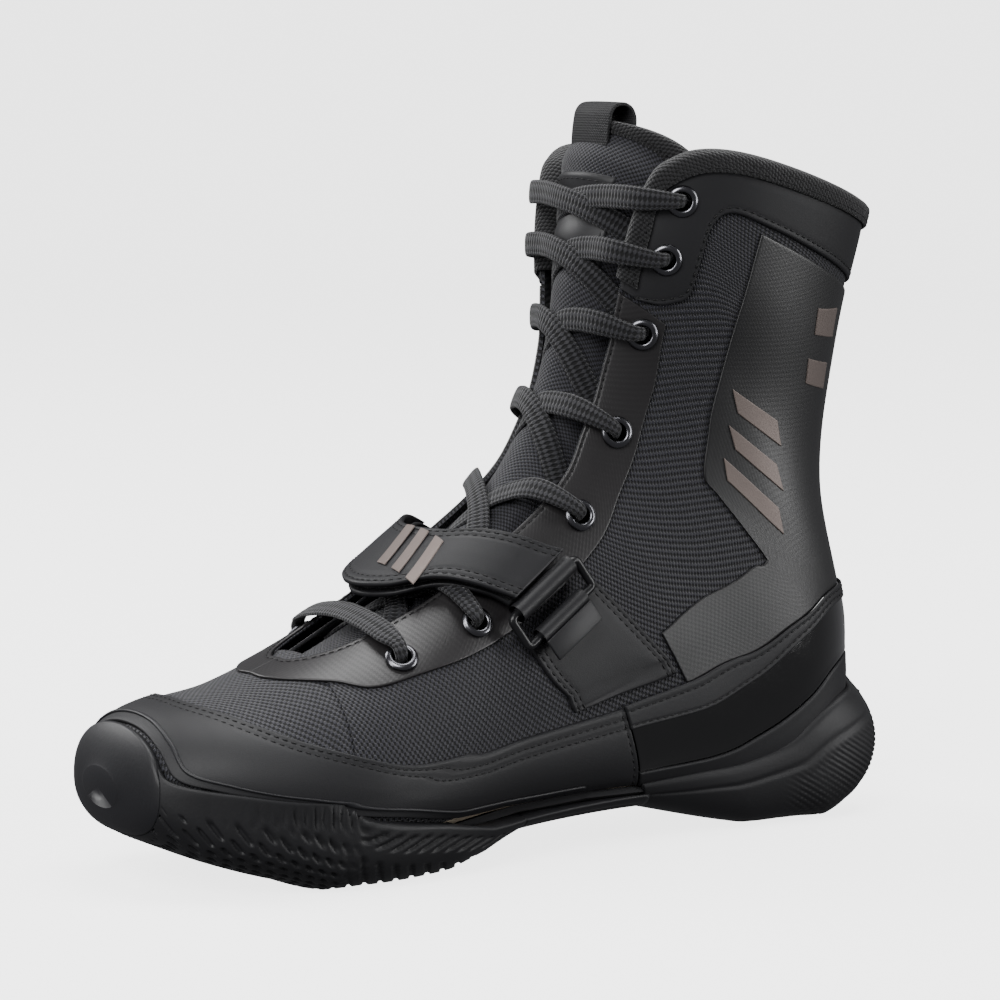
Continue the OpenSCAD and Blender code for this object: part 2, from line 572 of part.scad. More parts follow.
// A tube through rings of points, closed at both ends
module tube(rings) {
    n = len(rings) - 1;
    m = len(rings[0]);
    sides = [for (i = [0:n - 1], j = [0:m - 1]) let (k = (j + 1) % m) each [
        [i * m + j, (i + 1) * m + k, (i + 1) * m + j], [i * m + j, i * m + k, (i + 1) * m + k]]];
    ends = [[for (j = [m - 1:-1:0]) j], [for (j = [0:m - 1]) n * m + j]];
    polyhedron(flat_list(rings), [for (f = concat(sides, ends)) backwards(f)], 10);
}
module lace() {
    route = lace_route();
    color("#101012") tube([for (i = [0:len(route) - 1]) lace_ring(route, i)]);
}
aglet_l = 16;
module aglets() {
    end = tail(EYELETS[0], 1)[8];
    color("#2a2a2c") for (side = [1, -1]) {
        tip = skin(end[0], side * end[1], end[2]);
        before = skin(end[0] + 0.5, side * (end[1] - 2), end[2]);
        place(tip + (tip - before) / norm(tip - before) * layer_gap, tip - before)
            cylinder(r = 1.5, h = aglet_l, $fn = 32);
    }
}

// ---- strap, ring and keeper ----
// Edges of the strap from the ring over the instep to the inner side, as [u, v, lift of
// its lower face]
STRAP_REAR = [[6.9, 53, 3.6], [6.75, 47, 3.5], [6.55, 40, 3.4], [6.2, 28, 3.3], [5.86, 15, 2.9],
              [5.74, 0, 2.7], [5.86, -15, 2.9], [6.2, -28, 3.3], [6.55, -42, 3],
              [6.9, -56, 2.5], [7.1, -68, 2.1], [7.3, -80, 2]];
STRAP_FRONT = [[6.02, 54.5, 3.6], [5.86, 48, 3.5], [5.66, 41, 3.4], [5.3, 28, 3.3],
               [4.86, 15, 2.9], [4.7, 0, 2.7], [4.86, -15, 2.9], [5.3, -28, 3.3],
               [5.66, -42, 3], [6, -57, 2.5], [6.3, -70, 2.1], [6.55, -82, 2]];
loop_low = strap_t + layer_gap;
hook_low = loop_low + hook_t + layer_gap;
flap_low = hook_low + hook_t + layer_gap;
module strap_base() {
    color("#232325") panel(STRAP_FRONT, STRAP_REAR, 22, 4, 0, strap_t, 0.1);
}
module strap_patch(from, to, low) {
    panel(part_of(STRAP_FRONT, from, to), part_of(STRAP_REAR, from, to), 9, 3,
          low, low + hook_t, 5);
}
module strap_loop() {
    color("#18181a") strap_patch(2, 8, loop_low);
}
module strap_hook() {
    color("#18181a") strap_patch(3, 7, hook_low);
}

// Ends of the ring's two long bars, near the toe and near the heel
UPPER_BAR = [skin(6.02, 58.5, 6.8), skin(6.96, 56.5, 6.8)];
LOWER_BAR = [skin(6.12, 69, 5.2), skin(7.04, 66.5, 5.2)];
upper_mid = (UPPER_BAR[0] + UPPER_BAR[1]) / 2;
lower_mid = (LOWER_BAR[0] + LOWER_BAR[1]) / 2;
bar_dir = (UPPER_BAR[1] - UPPER_BAR[0]) / norm(UPPER_BAR[1] - UPPER_BAR[0]);
bar_gap_raw = lower_mid - upper_mid;
bar_gap = bar_gap_raw - (bar_gap_raw * bar_dir) * bar_dir;
ring_h = norm(bar_gap);
ring_w = norm(UPPER_BAR[1] - UPPER_BAR[0]) + ring_wire + 2;
ring_out = cross(bar_dir, bar_gap / ring_h);
sleeve_in = ring_wire / 2 + ring_play;
// The ring's own frame: +X along the bars, +Y from the upper bar to the lower one
module at_ring() {
    place(upper_mid, ring_out, bar_dir) children();
}
module strap_ring() {
    corners = [[-ring_w / 2, 0], [ring_w / 2, 0], [ring_w / 2, ring_h], [-ring_w / 2, ring_h]];
    color("#161618") at_ring() for (i = [0:3]) {
        a = corners[i];
        b = corners[(i + 1) % 4];
        translate([a[0], a[1], 0]) sphere(d = ring_wire, $fn = 32);
        translate([a[0], a[1], 0]) rotate([0, 90, atan2(b[1] - a[1], b[0] - a[0])])
            cylinder(d = ring_wire, h = norm(b - a), $fn = 32);
    }
}
module sleeve(wall, length) {
    rotate([0, 90, 0]) difference() {
        cylinder(r = sleeve_in + wall, h = length, center = true, $fn = 48);
        cylinder(r = sleeve_in, h = length + 2, center = true, $fn = 48);
    }
}
keeper_t = 1.1;
keeper_l = ring_w - ring_wire - 8;
module ring_keeper() {
    color("#2d2d2f") at_ring() translate([0, ring_h, 0]) {
        sleeve(keeper_t, keeper_l);
        translate([-keeper_l / 2, sleeve_in + 0.2, -sleeve_in - keeper_t]) cube([keeper_l, 8, keeper_t]);
    }
}
// The strap's end, folded round the ring's upper bar
module strap_fold() {
    color("#2a2a2c") at_ring() sleeve(strap_t, norm(UPPER_BAR[1] - UPPER_BAR[0]) - 1);
}
// The strap's upper run, which lies back over the lower one
module strap_flap() {
    front = concat([[6.04, 54, 8.6 - flap_low]], part_of(STRAP_FRONT, 1, 8));
    rear = concat([[6.93, 52, 8.6 - flap_low]], part_of(STRAP_REAR, 1, 8));
    color("#2a2a2c") panel(front, rear, 18, 4, flap_low, flap_low + strap_t, 0.1);
}
// Raised slanted bars on the strap
module strap_bars() {
    low = flap_low + strap_t + 0.3;
    color("#8a7f78") for (v = [22, 13, 4])
        panel([[5.05, v - 2, 3.1], [5.7, v - 7, 3.1]], [[5.05, v + 3, 3.1], [5.7, v - 2, 3.1]],
              4, 2, low, low + 0.4, 0.1);
}
// Plain slanted bars of foil on the outer side of the shaft
module foil_bars() {
    low = film_high + layer_gap;
    color("#7a6f6a") {
        for (i = [0:2])
            panel([[9.85 + i * 0.42, 80 + i * 4], [9.95 + i * 0.42, 100 + i * 4]],
                  [[10.05 + i * 0.42, 79 + i * 4], [10.15 + i * 0.42, 99 + i * 4]],
                  6, 1, low, low + 0.3, 0.1);
        for (i = [0:1])
            panel([[11.5 + i * 0.4, 122], [11.6 + i * 0.4, 138]],
                  [[11.7 + i * 0.4, 121], [11.8 + i * 0.4, 137]], 5, 1, low, low + 0.3, 0.1);
    }
}

// ---- tongue ----
// The tongue lies inside the laced front, on rings drawn in evenly
tongue_high = lace_under - lace_t / 2 - 2.6;
function inset(u, v, lift) =
    let (s = station(u), top = [s[0], s[1]], sole = [s[2], s[3]], up = (top - sole) / norm(top - sole),
         t = top + up * lift, mid = sole + up * norm(top - sole) * s[6],
         p = mid + (t - mid) * signed_power(cos(v), 2 / s[7]))
    framed(p[0], s[5] - signed_power(sin(v), 2 / s[7]) * (s[4] + lift), p[1]);
// Half angle that the tongue spans, by station
TONGUE_SPAN = [[4.2, 22], [5, 35], [6, 43], [7, 47], [8, 48], [9, 48], [10, 50], [11, 53], [12, 58],
               [12.6, 62], [13.02, 66]];
tongue_base_u = 4.2;
// The top edge falls a little towards the sides
function tongue_u(s, t) = mix(tongue_base_u, 13.02 - 0.3 * pow(abs(2 * t - 1), 3), s);
module tongue_layer(low, high, trim, n, m) {
    function grid(lift) = [for (i = [0:n]) [for (j = [0:m])
        let (u = tongue_u(mix(trim / 300, 1 - trim / 300, i / n), j / m),
             span = lookup(u, TONGUE_SPAN) - trim)
        inset(u, mix(span, -span, j / m), lift)]];
    slab(grid(high), grid(low));
}
tongue_foam_high = tongue_high - tongue_skin_t - 0.4;
tongue_lining_high = tongue_foam_high - tongue_foam_t - 0.4;
tongue_low = tongue_lining_high - tongue_skin_t;
module tongue_front() {
    color("#1c1c22") tongue_layer(tongue_high - tongue_skin_t, tongue_high, 1, 16, 8);
}
module tongue_foam() {
    color("#8c8a86") tongue_layer(tongue_foam_high - tongue_foam_t, tongue_foam_high, 3, 16, 6);
}
module tongue_lining() {
    color("#2c2d33") tongue_layer(tongue_low, tongue_lining_high, 1, 16, 6);
}
// Knit binding over the tongue's sides and top
module tongue_binding() {
    steps = 30;
    // Along one side, over the top and down the other side, from station 9 up
    function rim(s, in_mm, lift) =
        let (q = s * 3, k = in_mm,
             side_u = mix(9, 12.7, q < 1 ? q : 3 - q),
             u = q < 1 || q > 2 ? side_u : 12.72 + 0.3 * (1 - pow(abs(2 * q - 3), 3)),
             span = lookup(u, TONGUE_SPAN),
             v = q < 1 ? span - k : (q > 2 ? k - span : mix(span - k, k - span, q - 1)))
        inset(u - (q < 1 || q > 2 ? 0 : k / 32), v, lift);
    function fold(s, grow) = [
        rim(s, 6, tongue_high + 0.3 + grow), rim(s, 1, tongue_high + 0.3 + grow),
        rim(s, -0.6 - grow, (tongue_high + tongue_low) / 2),
        rim(s, 1, tongue_low - 0.6 - grow), rim(s, 6, tongue_low - 0.6 - grow)];
    color("#1a1a1c") slab([for (i = [0:steps]) backwards(fold(i / steps, 1))],
                          [for (i = [0:steps]) backwards(fold(i / steps, 0))]);
}
module tongue_label() {
    low = tongue_high + 0.35;
    rows = [11.2, 11.6, 12, 12.4];
    turns = [for (j = [0:6]) mix(26, -26, j / 6)];
    function grid(lift) = [for (u = rows) [for (v = turns) inset(u, v, lift)]];
    color("#2e2e31") slab(grid(low + 0.9), grid(low));
}
// Webbing tab that stands up from the middle of the tongue's top edge
pull_tab_w = 22;
pull_tab_l = 27;
pull_tab_t = 1.2;
module pull_tab() {
    base = inset(12.75, 0, tongue_high);
    color("#232326") place(base + [-3, 0, 0], [0.12, 0, 1], [0, 1, 0])
        translate([-pull_tab_w / 2, 0, -pull_tab_l / 2 - 0.5])
        cube([pull_tab_w, pull_tab_t, pull_tab_l]);
}

outsole_forefoot();
toe_bumper();
arch_bridge();
outsole_heel();
midsole();
lasting_board();
footbed();
toe_puff();
heel_counter();
vamp_lining();
quarter_lining_lateral();
quarter_lining_medial();
collar_foam();
vamp_mesh();
quarter_mesh_lateral();
quarter_mesh_medial();
toe_guard();
eyestay_lateral();
eyestay_medial();
collar_panel_lateral();
collar_panel_medial();
rear_film_lateral();
rear_film_medial();
saddle_lateral();
saddle_medial();
heel_patent();
heel_band();
collar_binding();
eyelets_lateral();
eyelets_medial();
eyelet_washers_lateral();
eyelet_washers_medial();
lace();
aglets();
foil_bars();
strap_base();
strap_loop();
ring_keeper();
strap_ring();
strap_fold();
strap_flap();
strap_hook();
strap_bars();
tongue_front();
tongue_foam();
tongue_lining();
tongue_binding();
tongue_label();
pull_tab();
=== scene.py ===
"""Left boxing boot: soft upper, padded tongue, laces, instep strap and rubber sole.

Places on the upper are given as (u, v, lift): u counts the last's stations from toe to
collar, v turns round each station (0 top or front, 90 outer side, 180 sole or back) and
lift is the height above the knitted mesh in millimetres. Meshes are built in metres.
"""
from __future__ import annotations

import logging
import math
from dataclasses import dataclass, field
from enum import Enum
from typing import Any, Callable, Sequence

import bmesh
import bpy
import numpy as np
from mathutils import Matrix, Vector


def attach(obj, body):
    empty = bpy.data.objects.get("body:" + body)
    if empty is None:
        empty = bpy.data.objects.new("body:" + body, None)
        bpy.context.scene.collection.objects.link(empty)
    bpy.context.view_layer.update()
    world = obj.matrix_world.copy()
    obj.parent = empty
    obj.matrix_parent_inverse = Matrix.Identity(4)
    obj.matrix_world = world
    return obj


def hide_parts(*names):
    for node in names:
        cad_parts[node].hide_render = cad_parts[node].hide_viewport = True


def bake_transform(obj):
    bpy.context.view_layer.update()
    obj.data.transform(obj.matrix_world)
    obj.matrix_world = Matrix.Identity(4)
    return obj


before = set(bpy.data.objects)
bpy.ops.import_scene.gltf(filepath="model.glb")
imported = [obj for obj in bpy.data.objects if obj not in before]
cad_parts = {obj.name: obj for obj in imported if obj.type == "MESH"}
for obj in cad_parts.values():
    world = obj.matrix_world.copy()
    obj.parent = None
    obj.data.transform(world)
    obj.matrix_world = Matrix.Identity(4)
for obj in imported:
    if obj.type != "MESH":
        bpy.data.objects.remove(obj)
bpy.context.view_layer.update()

LOG = logging.getLogger("boot")
MM = 0.001
Array = np.ndarray

# ---------------------------------------------------------------- the last


@dataclass(frozen=True)
class Last:
    """The foot form that every layer of the upper is lifted from."""

    shift_x: float = -4.56
    shift_y: float = 0.8
    # top x, top z, sole x, sole z, half width, inward shift, widest level, and the
    # roundness above and below that level
    stations: tuple[tuple[float, ...], ...] = (
        (-142, 38, -141, 27, 11, 8, 0.50, 2.0, 2.0),
        (-136, 52, -137, 20, 29, 6, 0.42, 2.1, 2.6),
        (-121, 59, -122, 16, 40, 4, 0.38, 2.1, 3.0),
        (-98, 64, -100, 12, 47, 1, 0.34, 2.1, 3.2),
        (-70, 76, -74, 10, 49.5, -1, 0.32, 2.1, 3.4),
        (-42, 92, -44, 11, 46, -1, 0.34, 2.1, 3.4),
        (-18, 110, -8, 15, 40.5, 0, 0.36, 2.1, 3.6),
        (0, 129, 40, 16, 36.5, 0, 0.38, 2.1, 4.0),
        (11, 147, 95, 13, 35, 0, 0.40, 2.1, 4.2),
        (18, 164, 134, 20, 34.5, 0, 0.42, 2.1, 3.0),
        (22, 181, 144, 62, 34, 0, 0.46, 2.1, 2.2),
        (25, 199, 133, 115, 36, 0, 0.50, 2.1, 2.1),
        (28, 219, 137, 164, 42, 0, 0.52, 2.1, 2.1),
        (32, 250, 148, 213, 47, 0, 0.52, 2.1, 2.1),
    )

    def station(self, u: Array) -> Array:
        """Interpolates the station rows smoothly.

        Args:
            u: Station numbers, whole or between.

        Returns:
            One row of nine station values for each u.
        """
        table = np.array(self.stations, float)
        top = len(table) - 1
        i = np.clip(np.floor(u).astype(int), 0, top - 1)
        t = (np.asarray(u, float) - i)[..., None]
        rows = [table[np.clip(i + k, 0, top)] for k in (-1, 0, 1, 2)]
        return catmull(rows[0], rows[1], rows[2], rows[3], t)

    def ring(self, u: Array, v: Array, drop: Array | float = 0.0,
             wall: Array | float = 0.0, lower: float = 0.0) -> Array:
        """Points of the station rings.

        Args:
            u: Station numbers.
            v: Angles round the ring in degrees.
            drop: How much lower the sole point lies, in millimetres.
            wall: How much wider the ring is on each side, in millimetres.
            lower: Roundness of the lower half, or 0 for the station's own.

        Returns:
            Points in millimetres.
        """
        u, v = np.broadcast_arrays(np.asarray(u, float), np.asarray(v, float))
        s = self.station(u)
        axis = s[..., 0:2] - s[..., 2:4]
        tall = np.linalg.norm(axis, axis=-1)
        up = axis / tall[..., None]
        c, n_side = np.cos(np.radians(v)), np.sin(np.radians(v))
        reach = np.where(c >= 0, tall * (1 - s[..., 6]), tall * s[..., 6] + drop)
        n = np.where(c >= 0, s[..., 7], lower if lower > 0 else s[..., 8])
        p = s[..., 2:4] + up * (tall * s[..., 6] + power(c, 2 / n) * reach)[..., None]
        y = s[..., 5] - power(n_side, 2 / n) * (s[..., 4] + wall)
        return np.stack([p[..., 0] + self.shift_x, y + self.shift_y, p[..., 1]], -1)

    def outward(self, u: Array, v: Array) -> Array:
        """Unit normals of the last."""
        n = np.cross(self.ring(u, np.asarray(v) + 0.6) - self.ring(u, np.asarray(v) - 0.6),
                     self.ring(np.asarray(u) + 0.02, v) - self.ring(np.asarray(u) - 0.02, v))
        return n / np.linalg.norm(n, axis=-1, keepdims=True)

    def skin(self, u: Array, v: Array, lift: Array | float = 0.0) -> Array:
        """Points at a lift above the last."""
        lift = np.broadcast_to(np.asarray(lift, float), np.broadcast(u, v).shape)
        return self.ring(u, v) + self.outward(u, v) * lift[..., None]

    def lay(self, places: Array) -> Array:
        """Points of (u, v, lift) triples."""
        return self.skin(places[..., 0], places[..., 1], places[..., 2])

    def inset(self, u: Array, v: Array, lift: Array | float) -> Array:
        """Points on rings drawn in evenly, for the tongue.

        Args:
            u: Station numbers.
            v: Angles in degrees, within a quarter turn of the front.
            lift: Height above the last, negative inside.

        Returns:
            Points in millimetres.
        """
        u, v = np.broadcast_arrays(np.asarray(u, float), np.asarray(v, float))
        lift = np.broadcast_to(np.asarray(lift, float), u.shape)
        s = self.station(u)
        axis = s[..., 0:2] - s[..., 2:4]
        tall = np.linalg.norm(axis, axis=-1)
        up = axis / tall[..., None]
        mid = s[..., 2:4] + up * (tall * s[..., 6])[..., None]
        high = s[..., 0:2] + up * lift[..., None]
        c, n_side = np.cos(np.radians(v)), np.sin(np.radians(v))
        p = mid + (high - mid) * power(c, 2 / s[..., 7])[..., None]
        y = s[..., 5] - power(n_side, 2 / s[..., 7]) * (s[..., 4] + lift)
        return np.stack([p[..., 0] + self.shift_x, y + self.shift_y, p[..., 1]], -1)


def catmull(a: Array, b: Array, c: Array, d: Array, t: Array) -> Array:
    """Catmull-Rom interpolation from b to c."""
    return 0.5 * (2 * b + (c - a) * t + (2 * a - 5 * b + 4 * c - d) * t * t
                  + (3 * b - a - 3 * c + d) * t * t * t)


def power(a: Array, p: Array) -> Array:
    """Power that keeps the sign."""
    return np.sign(a) * np.abs(a) ** p


LAST = Last()

# ---------------------------------------------------------------- edges


@dataclass(frozen=True)
class Edge:
    """A smooth edge through (u, v) or (u, v, lift) places."""

    points: tuple[tuple[float, ...], ...]

    @property
    def table(self) -> Array:
        """The places as rows of three numbers."""
        return np.array([tuple(p) + (0.0,) * (3 - len(p)) for p in self.points], float)

    def along(self, s: Array) -> Array:
        """Places at shares s of the edge, counted by its points."""
        e = self.table
        x = np.asarray(s, float) * (len(e) - 1)
        i = np.clip(np.floor(x).astype(int), 0, len(e) - 2)
        t = (x - i)[..., None]
        last = len(e) - 1
        return catmull(e[np.maximum(i - 1, 0)], e[i], e[i + 1], e[np.minimum(i + 2, last)], t)

    def part(self, start: int, stop: int) -> Edge:
        """The edge from one point to another, both kept."""
        return Edge(self.points[start:stop + 1])

    def mirrored(self) -> Edge:
        """The same edge on the inner side of the boot."""
        return Edge(tuple((p[0], 360 - p[1], *p[2:]) for p in self.points))

    def joined(self, other: Edge) -> Edge:
        """This edge followed by another."""
        return Edge(self.points + other.points)

    def through(self, turn: float) -> Edge:
        """The edge carried on round the other side, about the angle of its last point."""
        back = tuple((p[0], turn - p[1], *p[2:]) for p in self.points[-2::-1])
        return Edge(self.points + back)


THROAT = Edge(((3.6, 0), (3.6, 5), (3.7, 10), (3.85, 14), (4.1, 18), (4.5, 22), (5, 26),
               (5.6, 30), (6.2, 33), (7, 36), (7.8, 36.5), (8.6, 34), (9.5, 35), (10.3, 38),
               (11, 40.5), (11.6, 41), (12.1, 42.5), (12.45, 46)))
RIM = Edge(((12.45, 46), (12.62, 52), (12.78, 61), (12.9, 74), (12.96, 90), (12.98, 110),
            (12.98, 133), (12.98, 157), (12.98, 180)))
SOLE_TOP = Edge(((1, 66), (1.15, 82), (1.8, 88), (3, 93), (4.2, 104), (5.1, 128), (5.6, 140),
                 (6, 145), (7.1, 147), (7.6, 144), (8.2, 140), (8.8, 140), (9.2, 149),
                 (9.45, 164), (9.55, 180)))
WALL_TOP = Edge(((1, 66), (1.15, 78), (1.8, 84), (3, 87), (4.2, 93), (5.1, 102), (5.6, 116),
                 (6, 133), (7.1, 136), (7.6, 124), (8.2, 119), (8.8, 117), (9.2, 126),
                 (9.5, 144), (9.75, 174)))
GUARD_TOP = Edge(((7.07, 93), (6.57, 93), (6, 92), (5.36, 90), (4.53, 84), (3.88, 74),
                  (3.2, 59), (2.7, 43), (2.35, 28), (2.14, 14), (2.1, 0)))
GUARD_FOOT = Edge(((7.07, 141), (6.6, 140), (6, 138), (5.2, 125), (4.2, 101), (3, 90),
                   (1.9, 85), (1.2, 76), (1.06, 50), (1.04, 24), (1.03, 0)))
PATENT_TOP = Edge(((7.07, 93), (7.74, 91.5), (8.5, 92), (9.15, 98), (9.65, 113),
                   (10.05, 131), (10.3, 153), (10.4, 180)))
PATENT_FOOT = Edge(((7.07, 126), (7.6, 119), (8.24, 112), (8.8, 113), (9.3, 123),
                    (9.65, 140), (9.85, 160), (9.9, 180)))
BAND_FOOT = Edge(((7.07, 143), (7.6, 140), (8.2, 136), (8.8, 136), (9.25, 145), (9.55, 160),
                  (9.68, 170), (9.7, 180)))
QUARTER_FRONT = THROAT.part(2, 17).joined(RIM.part(1, 7))
QUARTER_BACK = Edge(((3.7, 127), (4.1, 127), (4.6, 127), (5.1, 128), (5.6, 128), (6.2, 129),
                     (6.8, 130), (7.4, 131), (8, 133), (8.4, 137), (8.7, 143), (8.95, 152),
                     (9.15, 162), (9.35, 172), (9.62, 179.5), (10.1, 180), (10.6, 180),
                     (11.1, 180), (11.6, 180), (12, 180), (12.5, 180), (12.98, 180)))
EYESTAY_OUTER = Edge(((3.2, 0), (3.2, 8), (3.3, 16), (3.5, 25), (3.75, 34), (4.1, 46),
                      (4.7, 53), (5.4, 60), (6, 63), (6.8, 62), (7.6, 58), (8.4, 52.5),
                      (9.3, 51.5), (10.2, 56), (11, 61)))
COLLAR_OUTER = Edge(((11.05, 41), (11.6, 41), (12.1, 42.5))).joined(RIM)
COLLAR_LOWER = Edge(((11.05, 49), (11.15, 57), (11.3, 63), (11.5, 68), (11.95, 69.5),
                     (12.25, 71), (12.4, 77), (12.42, 92), (12.42, 111), (12.42, 133),
                     (12.42, 157), (12.42, 180)))
FILM_FRONT = Edge(((7.73, 84), (8.1, 82.5), (8.5, 82), (8.9, 84), (9.25, 87.5), (9.52, 91.5),
                   (9.56, 91), (9.58, 84), (9.6, 76), (9.66, 72), (10.3, 75), (11, 83),
                   (11.7, 87), (12.37, 89)))
FILM_BACK = Edge(((7.74, 92.5), (8.15, 92.5), (8.5, 93.5), (8.9, 97), (9.25, 103),
                  (9.55, 111.5), (9.75, 119), (9.95, 128), (10.12, 137), (10.26, 146),
                  (10.4, 164), (10.75, 178), (11.4, 180), (12.37, 180)))
SADDLE_FRONT = Edge(((6.16, 69), (6.37, 83), (6.57, 91.5)))
SADDLE_REAR = Edge(((7.28, 65), (7.53, 80), (7.7, 90.5)))
STRAP_REAR = Edge(((6.9, 53, 3.6), (6.75, 47, 3.5), (6.55, 40, 3.4), (6.2, 28, 3.3),
                   (5.86, 15, 2.9), (5.74, 0, 2.7), (5.86, -15, 2.9), (6.2, -28, 3.3),
                   (6.55, -42, 3), (6.9, -56, 2.5), (7.1, -68, 2.1), (7.3, -80, 2)))
STRAP_FRONT = Edge(((6.02, 54.5, 3.6), (5.86, 48, 3.5), (5.66, 41, 3.4), (5.3, 28, 3.3),
                    (4.86, 15, 2.9), (4.7, 0, 2.7), (4.86, -15, 2.9), (5.3, -28, 3.3),
                    (5.66, -42, 3), (6, -57, 2.5), (6.3, -70, 2.1), (6.55, -82, 2)))
# Eyelets from the collar down: u, v and the throat's v beside each
EYELETS = ((12.35, 58, 46), (11.75, 56.5, 41.5), (10.65, 51, 38.5), (9, 44, 34),
           (7.55, 48.5, 36.3), (5.6, 51, 30), (4.55, 42, 22))

# ---------------------------------------------------------------- finishes


def linear(code: str) -> tuple[float, float, float, float]:
    """Turns an sRGB hex colour into a linear one."""
    parts = [int(code[i:i + 2], 16) / 255 for i in (1, 3, 5)]
    low = [p / 12.92 if p <= 0.04045 else ((p + 0.055) / 1.055) ** 2.4 for p in parts]
    return (low[0], low[1], low[2], 1.0)


def add(tree: bpy.types.NodeTree, kind: str, inputs: dict | None = None,
        **settings: Any) -> bpy.types.Node:
    """Adds a node to a material.

    Args:
        tree: The material's node tree.
        kind: The node's type name.
        inputs: Values or output sockets for the node's inputs, by name or number.
        settings: Properties of the node.

    Returns:
        The new node.
    """
    made = tree.nodes.new(kind)
    for name, value in settings.items():
        setattr(made, name, value)
    for key, value in (inputs or {}).items():
        if isinstance(value, bpy.types.NodeSocket):
            tree.links.new(value, made.inputs[key])
        else:
            made.inputs[key].default_value = value
    return made


class Pattern(Enum):
    """What the surface of a finish is made up of."""

    MESH = "knitted mesh"
    BRAID = "flat braid"
    RIB = "ribbed knit"
    CLOTH = "brushed cloth"
    GRAIN = "leather grain"
    FILM = "film over mesh"
    SMOOTH = "smooth"
    RUBBER = "moulded rubber"
    FOAM = "cut foam"


